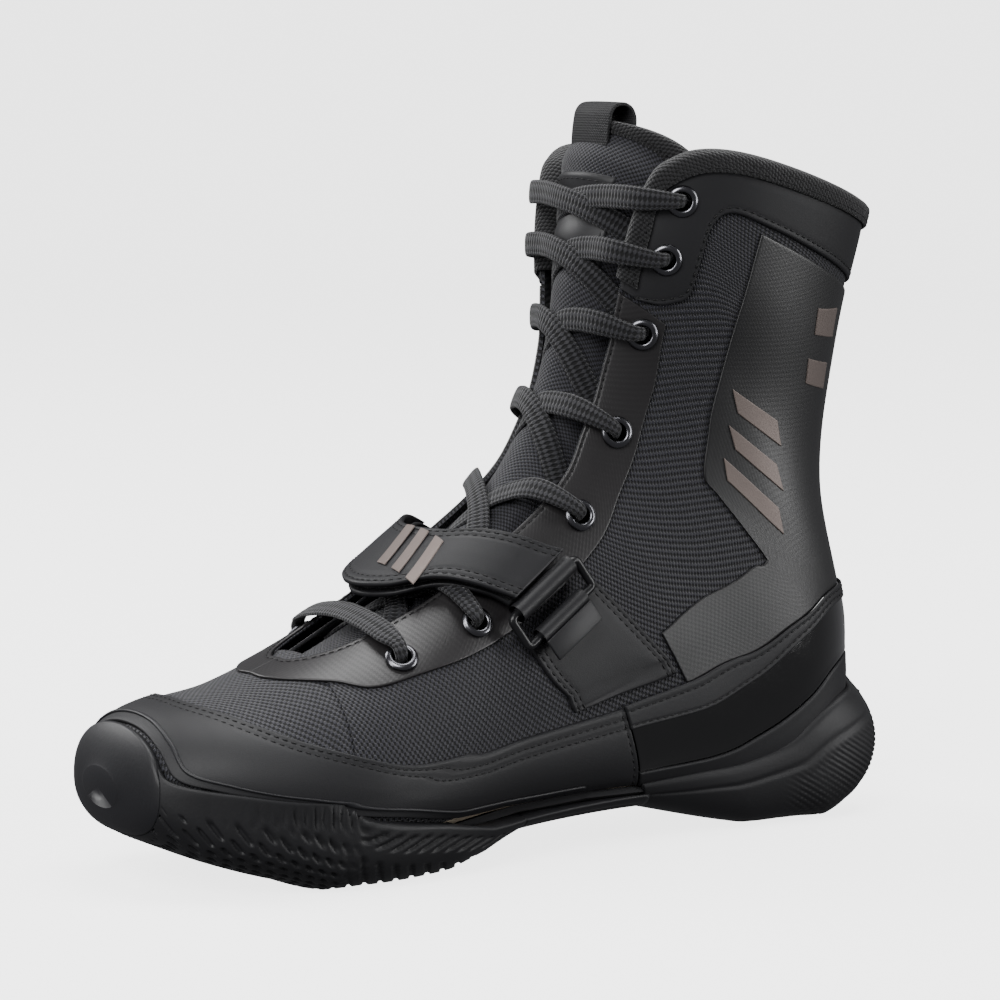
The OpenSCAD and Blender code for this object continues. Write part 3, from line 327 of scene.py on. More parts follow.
@dataclass(frozen=True)
class Finish:
    """One material: its base colour, its gloss and the pattern of its surface."""

    name: str
    colour: str
    # colour of the pattern's low parts: painted shade in the hollows of the mesh, rib and braid
    # patterns (partly the dark layer under the mesh's holes), random tone on the others, and the
    # mesh showing through the film
    dark: str
    rough: float
    pattern: Pattern = Pattern.SMOOTH
    pitch: tuple[float, float] = (1.0, 1.0)
    relief: float = 0.2
    metallic: float = 0.0
    coat: float = 0.0
    sheen: float = 0.0
    slot: str = "matte_leather"

    def made(self) -> bpy.types.Material:
        """Builds the material, or returns it when it is there already."""
        known = bpy.data.materials.get(self.name)
        if known:
            return known
        mat = bpy.data.materials.new(self.name)
        mat.use_nodes = True
        tree = mat.node_tree
        shader = tree.nodes["Principled BSDF"]
        shader.inputs["Metallic"].default_value = self.metallic
        shader.inputs["Specular IOR Level"].default_value = (
            0.55 if self.coat or self.pattern is Pattern.FILM else 0.32)
        shader.inputs["Coat Weight"].default_value = self.coat
        shader.inputs["Coat Roughness"].default_value = 0.05
        if self.sheen:
            shader.inputs["Sheen Weight"].default_value = self.sheen
            shader.inputs["Sheen Roughness"].default_value = 0.45
        height, share = self.surface(tree)
        colour = add(tree, "ShaderNodeMix", {0: share, 6: linear(self.dark),
                                             7: linear(self.colour)}, data_type="RGBA")
        tree.links.new(colour.outputs[2], shader.inputs["Base Color"])
        shade = add(tree, "ShaderNodeMapRange", {0: share, 3: min(1, self.rough + 0.12),
                                                 4: max(0.02, self.rough - 0.06)})
        tree.links.new(shade.outputs[0], shader.inputs["Roughness"])
        bump = add(tree, "ShaderNodeBump", {"Height": height, "Strength": 1.0,
                                            "Distance": self.relief * MM})
        tree.links.new(bump.outputs[0], shader.inputs["Normal"])
        return mat

    def surface(self, tree: bpy.types.NodeTree
                ) -> tuple[bpy.types.NodeSocket, bpy.types.NodeSocket]:
        """Adds the pattern's nodes.

        Args:
            tree: The material's node tree.

        Returns:
            The height socket and the socket of the share of the main colour.
        """
        place = add(tree, "ShaderNodeTexCoord")
        spot = place.outputs["Object"]
        noise = add(tree, "ShaderNodeTexNoise", {"Vector": spot, "Scale": 26.0, "Detail": 3.0})
        cloud = noise.outputs[0]
        if self.pattern in (Pattern.MESH, Pattern.BRAID, Pattern.RIB, Pattern.FILM):
            uv = add(tree, "ShaderNodeUVMap", uv_map="cloth")
            axes = add(tree, "ShaderNodeSeparateXYZ", {0: uv.outputs[0]})

            def wave(u_turns: float, v_turns: float) -> bpy.types.NodeSocket:
                """A cosine of whole turns per metre along the cloth's two ways."""
                a = add(tree, "ShaderNodeMath", {0: axes.outputs[0], 1: u_turns * math.tau},
                        operation="MULTIPLY")
                b = add(tree, "ShaderNodeMath", {0: axes.outputs[1], 1: v_turns * math.tau},
                        operation="MULTIPLY")
                both = add(tree, "ShaderNodeMath", {0: a.outputs[0], 1: b.outputs[0]},
                           operation="ADD")
                return add(tree, "ShaderNodeMath", {0: both.outputs[0]},
                           operation="COSINE").outputs[0]

            per_u, per_v = 1000 / self.pitch[0], 1000 / self.pitch[1]
            if self.pattern is Pattern.RIB:
                one, two = wave(per_u, 0), wave(0.5 * per_u, per_v)
                lift = add(tree, "ShaderNodeMath", {0: one, 1: two}, operation="ADD")
                product = add(tree, "ShaderNodeMath", {0: lift.outputs[0], 1: 0.5},
                              operation="MULTIPLY").outputs[0]
            elif self.pattern is Pattern.BRAID:
                one, two = wave(per_u, per_v), wave(per_u, -per_v)
                product = add(tree, "ShaderNodeMath", {0: one, 1: two},
                              operation="MULTIPLY").outputs[0]
            else:
                one, two = wave(per_u, 0), wave(0, per_v)
                product = add(tree, "ShaderNodeMath", {0: one, 1: two},
                              operation="MULTIPLY").outputs[0]
            sharp = add(tree, "ShaderNodeMapRange",
                        {0: product, 1: -0.55, 2: 0.45, 3: 0.0, 4: 1.0},
                        interpolation_type="SMOOTHSTEP").outputs[0]
            if self.pattern is Pattern.FILM:
                sharp = add(tree, "ShaderNodeMix", {0: 0.78, 2: sharp, 3: cloud}).outputs[0]
            # the thread height also sets the colour share, so the hollows between threads take
            # the dark colour as painted shade; under the film it is the mesh showing through
            return sharp, sharp
        scale = {Pattern.GRAIN: 2600.0, Pattern.CLOTH: 1500.0, Pattern.RUBBER: 900.0,
                 Pattern.FOAM: 1200.0, Pattern.SMOOTH: 60.0}[self.pattern]
        fine = add(tree, "ShaderNodeTexNoise", {"Vector": spot, "Scale": scale / self.pitch[0],
                                                "Detail": 4.0, "Roughness": 0.6})
        blend = add(tree, "ShaderNodeMix", {0: 0.5, 2: fine.outputs[0], 3: cloud})
        return fine.outputs[0], blend.outputs[0]


# Knitted fabrics: raised threads with near-black holes between them, partly the dark layer under
# the holes and partly painted shade, and a faint bloom at grazing light.
# Their pitch is coarser than a real knit's, so that the pattern shows on a whole boot.
KNIT_MESH = Finish("polyester knitted mesh", "#26262d", "#020203", 0.6, Pattern.MESH,
                   (2.0, 2.6), 0.42, sheen=0.12, slot="mesh")
TONGUE_MESH = Finish("fine knitted mesh", "#25252c", "#040406", 0.66, Pattern.MESH,
                     (1.6, 2.0), 0.3, sheen=0.15, slot="mesh")
# Coated synthetic leather: a fine grain under a soft, wide sheen
MATTE_HIDE = Finish("matte synthetic leather", "#1e1e20", "#18181a", 0.5, Pattern.GRAIN,
                    (1.0, 1.0), 0.05)
STRAP_HIDE = Finish("smooth synthetic leather", "#1e1e20", "#18181a", 0.44, Pattern.GRAIN,
                    (0.9, 1.0), 0.04)
# Welded film: a smooth satin skin through which the mesh below just shows
SATIN_FILM = Finish("welded TPU film", "#201e1f", "#141314", 0.36, Pattern.FILM,
                    (2.0, 2.6), 0.1, slot="film")
REAR_FILM = Finish("satin TPU film", "#151516", "#101011", 0.4, Pattern.FILM,
                   (2.0, 2.6), 0.05, slot="film")
# Patent: nearly black with a hard clear coat, so it mirrors its surroundings
PATENT = Finish("patent synthetic leather", "#030303", "#020202", 0.06, Pattern.SMOOTH,
                (1.0, 1.0), 0.25, coat=1.0, slot="patent")
# Tapes, webbing, lace and thread: ribs and braid that catch light along the weave, with painted
# shade in the grooves between them
KNIT_RIB = Finish("ribbed knit binding", "#1c1c1e", "#060607", 0.75, Pattern.RIB,
                  (1.2, 1.5), 0.3, sheen=0.2, slot="binding")
WEBBING = Finish("woven nylon webbing", "#1e1e20", "#101011", 0.6, Pattern.RIB,
                 (0.9, 0.9), 0.12, slot="binding")
LACE_BRAID = Finish("braided polyester lace", "#222226", "#030304", 0.66, Pattern.BRAID,
                    (3.2, 3.4), 0.4, sheen=0.15, slot="lace")
THREAD = Finish("bonded nylon thread", "#0c0c0d", "#070708", 0.5, Pattern.SMOOTH,
                (1.0, 1.0), 0.05)
# Plated brass and painted wire: the metal gives bright rims and dark reflections
GUNMETAL = Finish("gunmetal plated brass", "#76767a", "#4c4c50", 0.22, Pattern.SMOOTH,
                  (1.0, 1.0), 0.02, metallic=1.0, slot="eyelet")
COATED_WIRE = Finish("black coated steel", "#1c1c1e", "#101011", 0.28, Pattern.SMOOTH,
                     (1.0, 1.0), 0.03, slot="ring")
# Printed foil: a dull metal tone without a mirror
FOIL = Finish("matt taupe foil", "#7a6f6a", "#5f5652", 0.42, Pattern.GRAIN,
              (1.4, 1.0), 0.03, metallic=0.35, slot="foil")
# Brushed textiles: no gloss, with a soft bloom
LINING = Finish("brushed textile lining", "#1c1c20", "#101013", 0.9, Pattern.CLOTH,
                (1.0, 1.0), 0.12, sheen=0.3, slot="lining")
FOOTBED_TOP = Finish("footbed textile", "#2a2a2e", "#19191c", 0.9, Pattern.CLOTH,
                     (0.8, 1.0), 0.1, sheen=0.2, slot="footbed")
# Foams and board: dry, open surfaces
FOAM = Finish("EVA foam", "#202022", "#19191b", 0.85, Pattern.FOAM, (1.0, 1.0), 0.08,
              slot="foam")
STIFFENER = Finish("fibre stiffener board", "#b8ad9c", "#a0927d", 0.9, Pattern.CLOTH,
                   (1.0, 1.0), 0.1, slot="board")
PADDING = Finish("polyurethane foam", "#55534f", "#45433f", 0.95, Pattern.FOAM,
                 (1.0, 1.0), 0.1, slot="padding")
# Moulded rubber: fine mould texture with a dull, broad shine
RUBBER = Finish("moulded black rubber", "#1b1b1d", "#151517", 0.5, Pattern.RUBBER,
                (1.0, 1.0), 0.05, slot="outsole")
BUMPER_RUBBER = Finish("satin black rubber", "#1d1d20", "#171719", 0.42, Pattern.RUBBER,
                       (1.2, 1.0), 0.04, slot="outsole")
# Fastening tape: rough and without gloss, and the aglets' film, which is smooth
HOOK_TAPE = Finish("hook and loop tape", "#161618", "#0a0a0b", 0.95, Pattern.FOAM,
                   (0.7, 1.0), 0.3, sheen=0.3, slot="hook_loop")
ACETATE = Finish("wrapped acetate film", "#26262a", "#1a1a1c", 0.3, Pattern.SMOOTH,
                 (1.0, 1.0), 0.03, slot="aglet")

# ---------------------------------------------------------------- making meshes


def finished(name: str, mesh: bpy.types.Mesh, body: str, finish: Finish,
             stands_for: Sequence[str]) -> bpy.types.Object:
    """Puts a mesh into the scene as a piece of the boot.

    Args:
        name: The piece's name.
        mesh: Its mesh, in metres and in place.
        body: The body that it rides on, or nothing for a piece that is left unattached.
        finish: Its material.
        stands_for: CAD nodes that it replaces.

    Returns:
        The piece.
    """
    mesh.materials.append(finish.made())
    piece = bpy.data.objects.new(name, mesh)
    bpy.context.scene.collection.objects.link(piece)
    for face in mesh.polygons:
        face.use_smooth = True
    if body:
        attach(piece, body)
    if stands_for:
        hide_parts(*stands_for)
    LOG.info("%s: %d faces, %s", name, len(mesh.polygons), finish.name)
    return piece


def grid_mesh(name: str, points: Array, cloth: Array | None = None, wrapped: bool = False,
              capped: bool = False,
              holes: Sequence[tuple[Array, float]] = ()) -> bpy.types.Mesh:
    """Shapes a grid into a surface.

    Args:
        name: The mesh's name.
        points: Rows and columns of points in millimetres.
        cloth: Places on the flat cloth in metres, for the UV map.
        wrapped: Joins doubled points, for a solid whose last column is its first.
        capped: Closes the open ends.
        holes: Centres and radii in millimetres of round holes.

    Returns:
        The mesh. An open one looks along the cross product of its columns and rows.
    """
    rows, cols = points.shape[:2]
    bm = bmesh.new()
    bmesh.ops.create_grid(bm, x_segments=cols - 1, y_segments=rows - 1, size=1.0)
    mesh = bpy.data.meshes.new(name)
    bm.to_mesh(mesh)
    bm.free()
    mesh.vertices.foreach_set("co", (points.reshape(-1, 3) * MM).ravel())
    if cloth is not None:
        layer = mesh.uv_layers.new(name="cloth")
        index = np.empty(len(mesh.loops), int)
        mesh.loops.foreach_get("vertex_index", index)
        layer.data.foreach_set("uv", cloth.reshape(-1, 2)[index].ravel())
    bm = bmesh.new()
    bm.from_mesh(mesh)
    for centre, radius in holes:
        middle = Vector(centre * MM)
        cut = [f for f in bm.faces if (f.calc_center_median() - middle).length < radius * MM]
        bmesh.ops.delete(bm, geom=cut, context="FACES")
    if wrapped:
        bmesh.ops.remove_doubles(bm, verts=bm.verts, dist=1e-6)
    if capped:
        rim = [e for e in bm.edges if e.is_boundary]
        bmesh.ops.holes_fill(bm, edges=rim, sides=0)
    if wrapped or capped:
        bmesh.ops.recalc_face_normals(bm, faces=bm.faces)
    bm.to_mesh(mesh)
    bm.free()
    return mesh


def run_lengths(points: Array, axis: int) -> Array:
    """Lengths run along one way of a grid of points, in millimetres."""
    step = np.linalg.norm(np.diff(points, axis=axis), axis=-1)
    pad = [(0, 0), (0, 0)]
    pad[axis] = (1, 0)
    return np.cumsum(np.pad(step, pad), axis=axis)


@dataclass(frozen=True)
class Thread:
    """Sizes of a sewing stitch in millimetres."""

    pitch: float = 3.0
    length: float = 2.2
    width: float = 0.62
    height: float = 0.42


class Sewing:
    """Rows of stitches, gathered and made into one piece."""

    def __init__(self, name: str, body: str, thread: Thread = Thread()) -> None:
        """Starts an empty set of rows."""
        self.name, self.body, self.thread = name, body, thread
        self.places: list[Matrix] = []

    def row(self, points: Array, normals: Array) -> None:
        """Adds a row of stitches.

        Args:
            points: Points along the row in millimetres.
            normals: The surface's unit normals at the points.
        """
        run = run_lengths(points[None], 1)[0]
        count = int(run[-1] / self.thread.pitch)
        at = (np.arange(count) + 0.5) * run[-1] / max(count, 1)
        half = self.thread.length / 2
        for k in range(count):
            ends = [[np.interp(at[k] + side, run, points[:, c]) for c in range(3)]
                    for side in (-half, half)]
            n = Vector([np.interp(at[k], run, normals[:, c]) for c in range(3)]).normalized()
            a, b = Vector(ends[0]), Vector(ends[1])
            x = (b - a).normalized()
            y = n.cross(x).normalized()
            z = x.cross(y)
            turn = Matrix((x, y, z)).transposed().to_4x4()
            size = Matrix.Diagonal((half, self.thread.width / 2, self.thread.height / 2, 1))
            self.places.append(Matrix.Translation((a + b) / 2 * MM) @ turn @ size)

    def made(self) -> bpy.types.Object:
        """Makes the stitches into one piece."""
        bm = bmesh.new()
        for place in self.places:
            bmesh.ops.create_icosphere(bm, subdivisions=1, radius=MM, matrix=place)
        mesh = bpy.data.meshes.new(self.name)
        bm.to_mesh(mesh)
        bm.free()
        return finished(self.name, mesh, self.body, THREAD, ())


# Distances in millimetres from an edge where a panel's rows stand close together
NEAR = (0.0, 0.2, 0.5, 0.9, 1.4, 1.9, 2.4, 3.0, 3.7, 4.4)


@dataclass
class Panel:
    """A cut and sewn piece of the upper between two edges."""

    name: str
    a: Edge
    b: Edge
    low: float
    high: float
    finish: Finish
    stands_for: tuple[str, ...]
    body: str = "boot"
    step: float = 1.6
    gap: float = 0.5
    roll: float = 0.7
    seams: tuple[tuple[str, float], ...] = ()
    holes: float = 0.0
    puff: float = 0.0
    wall: float = 0.35
    inside: bool = False

    def shares(self, length: Array, inner: int) -> Array:
        """Shares of each length, close together near both ends.

        Args:
            length: Lengths in millimetres, one for each row.
            inner: How many shares lie between the close ones.

        Returns:
            One row of shares for each length.
        """
        near = np.array(NEAR)[None] + self.gap / 2
        near = near * np.minimum(1.0, 0.3 * length / near[0, -1])[:, None] / length[:, None]
        mid = np.linspace(0, 1, inner + 2)[1:-1]
        between = near[:, -1:] + (1 - 2 * near[:, -1:]) * mid
        return np.concatenate([near, between, 1 - near[:, ::-1]], 1)

    def grid(self) -> tuple[Array, Array, Array]:
        """Works out the panel's grid.

        Returns:
            Places as (u, v, lift), distances from the long edges and from the short ends.
        """
        even = np.linspace(0, 1, 60)
        mid = LAST.lay((self.a.along(even) + self.b.along(even)) / 2)
        length = run_lengths(mid[None], 1)[0, -1]
        s = self.shares(np.array([length]), max(2, int(length / self.step)))[0]
        pa, pb = self.a.along(s), self.b.along(s)
        width = np.linalg.norm(LAST.lay(pa) - LAST.lay(pb), axis=-1)
        t = self.shares(width, max(2, int(np.median(width) / self.step)))
        places = pa[:, None] * (1 - t[..., None]) + pb[:, None] * t[..., None]
        from_side = np.minimum(t, 1 - t) * width[:, None]
        from_end = (np.minimum(s, 1 - s) * length)[:, None] * np.ones_like(t)
        return places, from_side, from_end

    def made(self, sewing: Sewing | None = None) -> bpy.types.Object:
        """Builds the panel and its seams.

        Args:
            sewing: Where the seams' stitches are gathered.

        Returns:
            The panel.
        """
        places, side, end = self.grid()
        d = np.minimum(side, end) - self.gap / 2
        x = np.clip(d / self.roll, 0, 1)
        lift = self.low + (self.high - self.low) * np.sqrt(np.clip(1 - (1 - x) ** 2, 0, 1))
        lift = lift + self.puff * (1 - np.exp(-np.clip(d - 3, 0, None) / 6))
        for which, distance in self.seams:
            across = side if which in ("both", "a", "b") else end
            dent = 0.16 * np.exp(-((across - distance) / 0.45) ** 2)
            middle = places.shape[1] // 2
            if which == "a":
                dent[:, middle:] = 0
            elif which == "b":
                dent[:, :middle] = 0
            lift = lift - dent
        places = places.copy()
        places[..., 2] += lift
        points = LAST.lay(places)
        cloth = np.stack([np.broadcast_to(run_lengths(points, 0).mean(1)[:, None],
                                          points.shape[:2]), run_lengths(points, 1)], -1) * MM
        holes = []
        if self.holes:
            for u, v, _ in EYELETS:
                for turn in (v, -v, 360 - v):
                    holes.append((LAST.skin(np.array(u), np.array(turn), self.high), self.holes))
        i, j = points.shape[0] // 2, points.shape[1] // 2
        out = LAST.outward(places[i, j, 0], places[i, j, 1])
        cell = np.cross(points[i, j + 1] - points[i, j], points[i + 1, j] - points[i, j])
        mesh = grid_mesh(self.name, points, cloth, holes=holes)
        if (cell @ out < 0) != self.inside:
            mesh.flip_normals()
        piece = finished(self.name, mesh, self.body, self.finish, self.stands_for)
        if self.wall:
            solid = piece.modifiers.new("wall", "SOLIDIFY")
            solid.thickness = self.wall * MM
            solid.offset = -1
            solid.use_rim = True
        if sewing:
            for which, distance in self.seams:
                self.sew(sewing, which, distance)
        return piece

    def sew(self, sewing: Sewing, which: str, distance: float) -> None:
        """Adds the stitches of one seam.

        Args:
            sewing: Where they are gathered.
            which: The edges that are sewn: a, b, both or ends.
            distance: Millimetres in from the edge.
        """
        s = np.linspace(0.004, 0.996, 400)
        pa, pb = self.a.along(s), self.b.along(s)
        width = np.linalg.norm(LAST.lay(pa) - LAST.lay(pb), axis=-1)
        t = (distance / width)[:, None]
        rows = []
        if which in ("a", "both"):
            rows.append(pa * (1 - t) + pb * t)
        if which in ("b", "both"):
            rows.append(pb * (1 - t) + pa * t)
        if which in ("ends", "start", "end"):
            length = run_lengths(LAST.lay((pa + pb) / 2)[None], 1)[0, -1]
            for share in ((distance / length,) if which == "start" else
                          (1 - distance / length,) if which == "end" else
                          (distance / length, 1 - distance / length)):
                qa, qb = self.a.along(np.array(share)), self.b.along(np.array(share))
                across = np.linspace(0.03, 0.97, 80)[:, None]
                rows.append(qa * (1 - across) + qb * across)
        for row in rows:
            row = row.copy()
            row[:, 2] += self.high - 0.02
            sewing.row(LAST.lay(row), LAST.outward(row[:, 0], row[:, 1]))


# ---------------------------------------------------------------- lifts of the layers


@dataclass(frozen=True)
class Layers:
    """Lifts of the layers against the knitted mesh's outer face, in millimetres."""

    overlay_low: float = 0.2
    overlay_high: float = 1.35
    film_high: float = 0.95
    lining_high: float = -3.4
    lining_low: float = -4.4
    binding_low: float = -5.4
    flange_low: float = 1.65
    flange: float = 1.0
    lace_t: float = 1.5
    lace_w: float = 7.6

    @property
    def lace_under(self) -> float:
        """Lift of a lace that runs under the throat's edge."""
        return self.binding_low - 1.2 - 0.9 - self.lace_t / 2

    @property
    def lace_over(self) -> float:
        """Lift of a lace that runs over the throat's edge."""
        return self.flange_low + self.flange + self.lace_t / 2 + 0.8

    @property
    def tongue_high(self) -> float:
        """Lift of the tongue's front."""
        return self.lace_under - self.lace_t / 2 - 2.6


LIFTS = Layers()


@dataclass
class Upper:
    """The mesh quarters, the vamp and the overlays sewn or welded to them."""

    sewing: Sewing

    def vamp(self) -> None:
        """Builds the mesh toe and its lining."""
        for name, lift, finish, node in (("vamp", 0.0, KNIT_MESH, "vamp_mesh"),
                                         ("vamp_lining", -4.4, LINING, "vamp_lining")):
            u = np.concatenate([[0.0, 0.06], np.linspace(0.14, 3.78, 92)])[:, None]
            v = np.linspace(127, -127, 150)[None, :]
            points = LAST.skin(u, v, lift - 0.6 * np.clip((u - 3.56) / 0.12, 0, 1))
            points[0] = LAST.ring(np.array(0.0), np.array(90.0)) * 0.5 + LAST.ring(
                np.array(0.0), np.array(-90.0)) * 0.5 - np.array([lift + 1.0, 0, 0])
            cloth = np.stack([run_lengths(points, 0), run_lengths(points, 1)], -1) * MM
            cloth[..., 0] = cloth[..., 0].mean(1)[:, None]
            mid = cloth[:, cloth.shape[1] // 2, 1]
            cloth[..., 1] -= mid[:, None]
            mesh = grid_mesh(name, points, cloth)
            on_top = mesh.polygons[40 * (v.shape[1] - 1) + 75]
            if (on_top.normal.z < 0) != (finish is LINING):
                mesh.flip_normals()
            piece = finished(name, mesh, "boot", finish, (node,))
            wall = piece.modifiers.new("wall", "SOLIDIFY")
            wall.thickness, wall.offset = 0.6 * MM, -1

    def quarters(self) -> None:
        """Builds the mesh quarters and their linings on both sides."""
        for side, front, back in (("lateral", QUARTER_FRONT, QUARTER_BACK),
                                  ("medial", QUARTER_FRONT.mirrored(),
                                   QUARTER_BACK.mirrored())):
            Panel(f"quarter_{side}", front, back, -0.3, 0.0, KNIT_MESH,
                  (f"quarter_mesh_{side}",), step=2.0, gap=0.02, roll=0.4, holes=4.6,
                  wall=1.0).made()
            Panel(f"lining_{side}", front, back, LIFTS.lining_high, LIFTS.lining_low, LINING,
                  (f"quarter_lining_{side}",), step=2.6, holes=4.9, wall=0.6,
                  inside=True).made()

    def overlays(self) -> None:
        """Builds the pieces that lie on the mesh."""
        low, high, film = LIFTS.overlay_low, LIFTS.overlay_high, LIFTS.film_high
        for side in ("lateral", "medial"):
            def here(edge: Edge) -> Edge:
                """The edge on this side."""
                return edge if side == "lateral" else edge.mirrored()

            Panel(f"eyestay_{side}", here(THROAT.part(0, 14)), here(EYESTAY_OUTER), low, film,
                  SATIN_FILM, (f"eyestay_{side}",), step=1.1, roll=0.4, holes=4.0,
                  seams=(("a", 2.0),)).made(self.sewing)
            Panel(f"collar_panel_{side}", here(COLLAR_OUTER), here(COLLAR_LOWER), low, high,
                  MATTE_HIDE, (f"collar_panel_{side}",), step=1.1, holes=4.0, puff=0.25,
                  seams=(("b", 2.2),)).made(self.sewing)
            Panel(f"rear_film_{side}", here(FILM_FRONT), here(FILM_BACK), low, film - 0.1,
                  REAR_FILM, (f"rear_film_{side}",), roll=0.4).made()
            Panel(f"saddle_{side}", here(SADDLE_FRONT), here(SADDLE_REAR), low, high,
                  MATTE_HIDE, (f"saddle_{side}",), puff=0.3,
                  seams=(("both", 2.0), ("both", 4.2), ("start", 2.2))).made(self.sewing)
        Panel("toe_guard", GUARD_FOOT.through(0), GUARD_TOP.through(0), low, high, MATTE_HIDE,
              ("toe_guard",), puff=0.4,
              seams=(("b", 2.0), ("b", 4.0), ("ends", 3.0))).made(self.sewing)
        Panel("heel_patent", PATENT_FOOT.through(360), PATENT_TOP.through(360), low, high,
              PATENT, ("heel_patent",), puff=0.3).made()
        Panel("heel_band", BAND_FOOT.through(360), PATENT_FOOT.through(360), low, high + 0.2,
              MATTE_HIDE, ("heel_band",), puff=0.3).made()
        rim = Edge(tuple((0.8 * a[0] + 0.2 * b[0], 0.8 * a[1] + 0.2 * b[1])
                         for a, b in zip(PATENT_TOP.points, PATENT_FOOT.points)))
        Panel("patent_rim", PATENT_TOP.through(360), rim.through(360), high - 0.1, high + 0.8,
              MATTE_HIDE, (), gap=-0.8, puff=0.1, wall=0.9,
              seams=(("a", 1.6), ("b", 1.6))).made(self.sewing)

    def foils(self) -> None:
        """Builds the plain slanted foil bars on the outer side."""
        low = LIFTS.film_high
        bars = [(((9.85 + i * 0.42, 80 + i * 4), (9.95 + i * 0.42, 100 + i * 4)),
                 ((10.05 + i * 0.42, 79 + i * 4), (10.15 + i * 0.42, 99 + i * 4)))
                for i in range(3)]
        bars += [(((11.5 + i * 0.4, 122), (11.6 + i * 0.4, 138)),
                  ((11.7 + i * 0.4, 121), (11.8 + i * 0.4, 137))) for i in range(2)]
        for k, (a, b) in enumerate(bars):
            Panel(f"foil_bar_{k}", Edge(a), Edge(b), low, low + 0.35, FOIL,
                  ("foil_bars",) if k == 0 else (), step=1.0, gap=0.1, roll=0.2,
                  wall=0.0).made()


@dataclass
class Binding:
    """Knit tape folded over the collar's rim and down both edges of the throat."""

    width: float = 6.5
    steps: int = 420

    def path(self) -> tuple[Array, Array]:
        """Edge places and the places that the tape's width runs towards."""
        edge = Edge(((11.2, 40.7), (11.6, 41), (12.1, 42.5))).joined(RIM).through(360)
        inward = Edge(((11.2, 50), (11.55, 50), (12, 51.5), (12.22, 54), (12.36, 58),
                       (12.53, 66), (12.65, 77), (12.71, 91), (12.72, 110), (12.72, 133),
                       (12.72, 157), (12.72, 180))).through(360)
        s = np.linspace(0, 1, self.steps)
        return edge.along(s), inward.along(s)

    def leg(self, reach: float, lift: float) -> tuple[Array, Array]:
        """A line along the tape at a reach from the edge and a lift."""
        e, w = self.path()
        k = (reach / np.linalg.norm(LAST.lay(e) - LAST.lay(w), axis=-1))[:, None]
        place = e * (1 - k) + w * k
        place[:, 2] += lift
        return LAST.lay(place), LAST.outward(place[:, 0], place[:, 1])

    def made(self, sewing: Sewing) -> None:
        """Builds the tape and its two rows of stitches."""
        w = self.width
        outer = [(w, 1.9), (w, 2.5), (w - 0.5, 2.95), (w - 1.6, 2.9), (w - 2.4, 2.95),
                 (w - 3.2, 3.05), (w - 4.2, 3.0)]
        for angle in np.linspace(90, 270, 11):
            outer.append((0.8 + 3.0 * math.cos(math.radians(angle)),
                          -1.8 + 4.8 * math.sin(math.radians(angle))))
        outer += [(w - 3, -6.6), (w, -6.5), (w, -5.6), (w - 3, -5.5)]
        for angle in np.linspace(270, 90, 7):
            outer.append((0.8 + 1.8 * math.cos(math.radians(angle)),
                          -1.8 + 3.6 * math.sin(math.radians(angle))))
        outer.append(outer[0])
        points = np.stack([self.leg(reach, lift)[0] for reach, lift in outer], 1)
        cloth = np.stack([run_lengths(points, 0)[:, :1] * np.ones(len(outer)),
                          run_lengths(points, 1)], -1) * MM
        mesh = grid_mesh("collar_binding", points, cloth, wrapped=True, capped=True)
        finished("collar_binding", mesh, "boot", KNIT_RIB, ("collar_binding",))
        for reach in (w - 1.6, w - 3.9):
            sewing.row(*self.leg(reach, 2.95))


@dataclass
class Eyelets:
    """Rolled eyelets over the washers that stay from the CAD."""

    bore: float = 6.0
    wall: float = 0.5
    flange: float = 11.0

    def made(self) -> None:
        """Builds the seven eyelets of each side."""
        r, b = self.flange / 2, self.bore / 2
        lip = LIFTS.flange_low
        profile = [(b, -6.1), (b, lip + 0.2), (b + 0.12, lip + 0.65), (b + 0.5, lip + 1.0),
                   (b + 1.1, lip + 1.1), (r - 0.7, lip + 0.8), (r - 0.15, lip + 0.35),
                   (r, lip + 0.05), (r - 0.1, lip - 0.1), (b + self.wall, lip - 0.15),
                   (b + self.wall, -6.1)]
        for side, sign in (("lateral", 1), ("medial", -1)):
            bm = bmesh.new()
            for u, v, _ in EYELETS:
                origin = Vector(LAST.skin(np.array(u), np.array(sign * v), 0.0) * MM)
                axis = Vector(LAST.outward(np.array(u), np.array(sign * v)))
                turn = axis.to_track_quat("Z", "X").to_matrix().to_4x4()
                spots = [bm.verts.new((x * MM, 0, z * MM)) for x, z in profile]
                edges = [bm.edges.new(pair) for pair in zip(spots, spots[1:] + spots[:1])]
                spun = bmesh.ops.spin(bm, geom=spots + edges, axis=(0, 0, 1), cent=(0, 0, 0),
                                      angle=math.tau, steps=40, use_merge=True)
                fresh = {e for e in spun["geom_last"] if isinstance(e, bmesh.types.BMVert)}
                mine = set(spots) | fresh
                grown = True
                while grown:
                    more = {e.other_vert(v0) for v0 in mine for e in v0.link_edges} - mine
                    grown = bool(more)
                    mine |= more
                bmesh.ops.transform(bm, matrix=Matrix.Translation(origin) @ turn,
                                    verts=list(mine))
            bmesh.ops.remove_doubles(bm, verts=bm.verts, dist=1e-7)
            bmesh.ops.recalc_face_normals(bm, faces=bm.faces)
            mesh = bpy.data.meshes.new(f"eyelets_{side}_rolled")
            bm.to_mesh(mesh)
            bm.free()
            finished(mesh.name, mesh, "boot", GUNMETAL, (f"eyelets_{side}",))


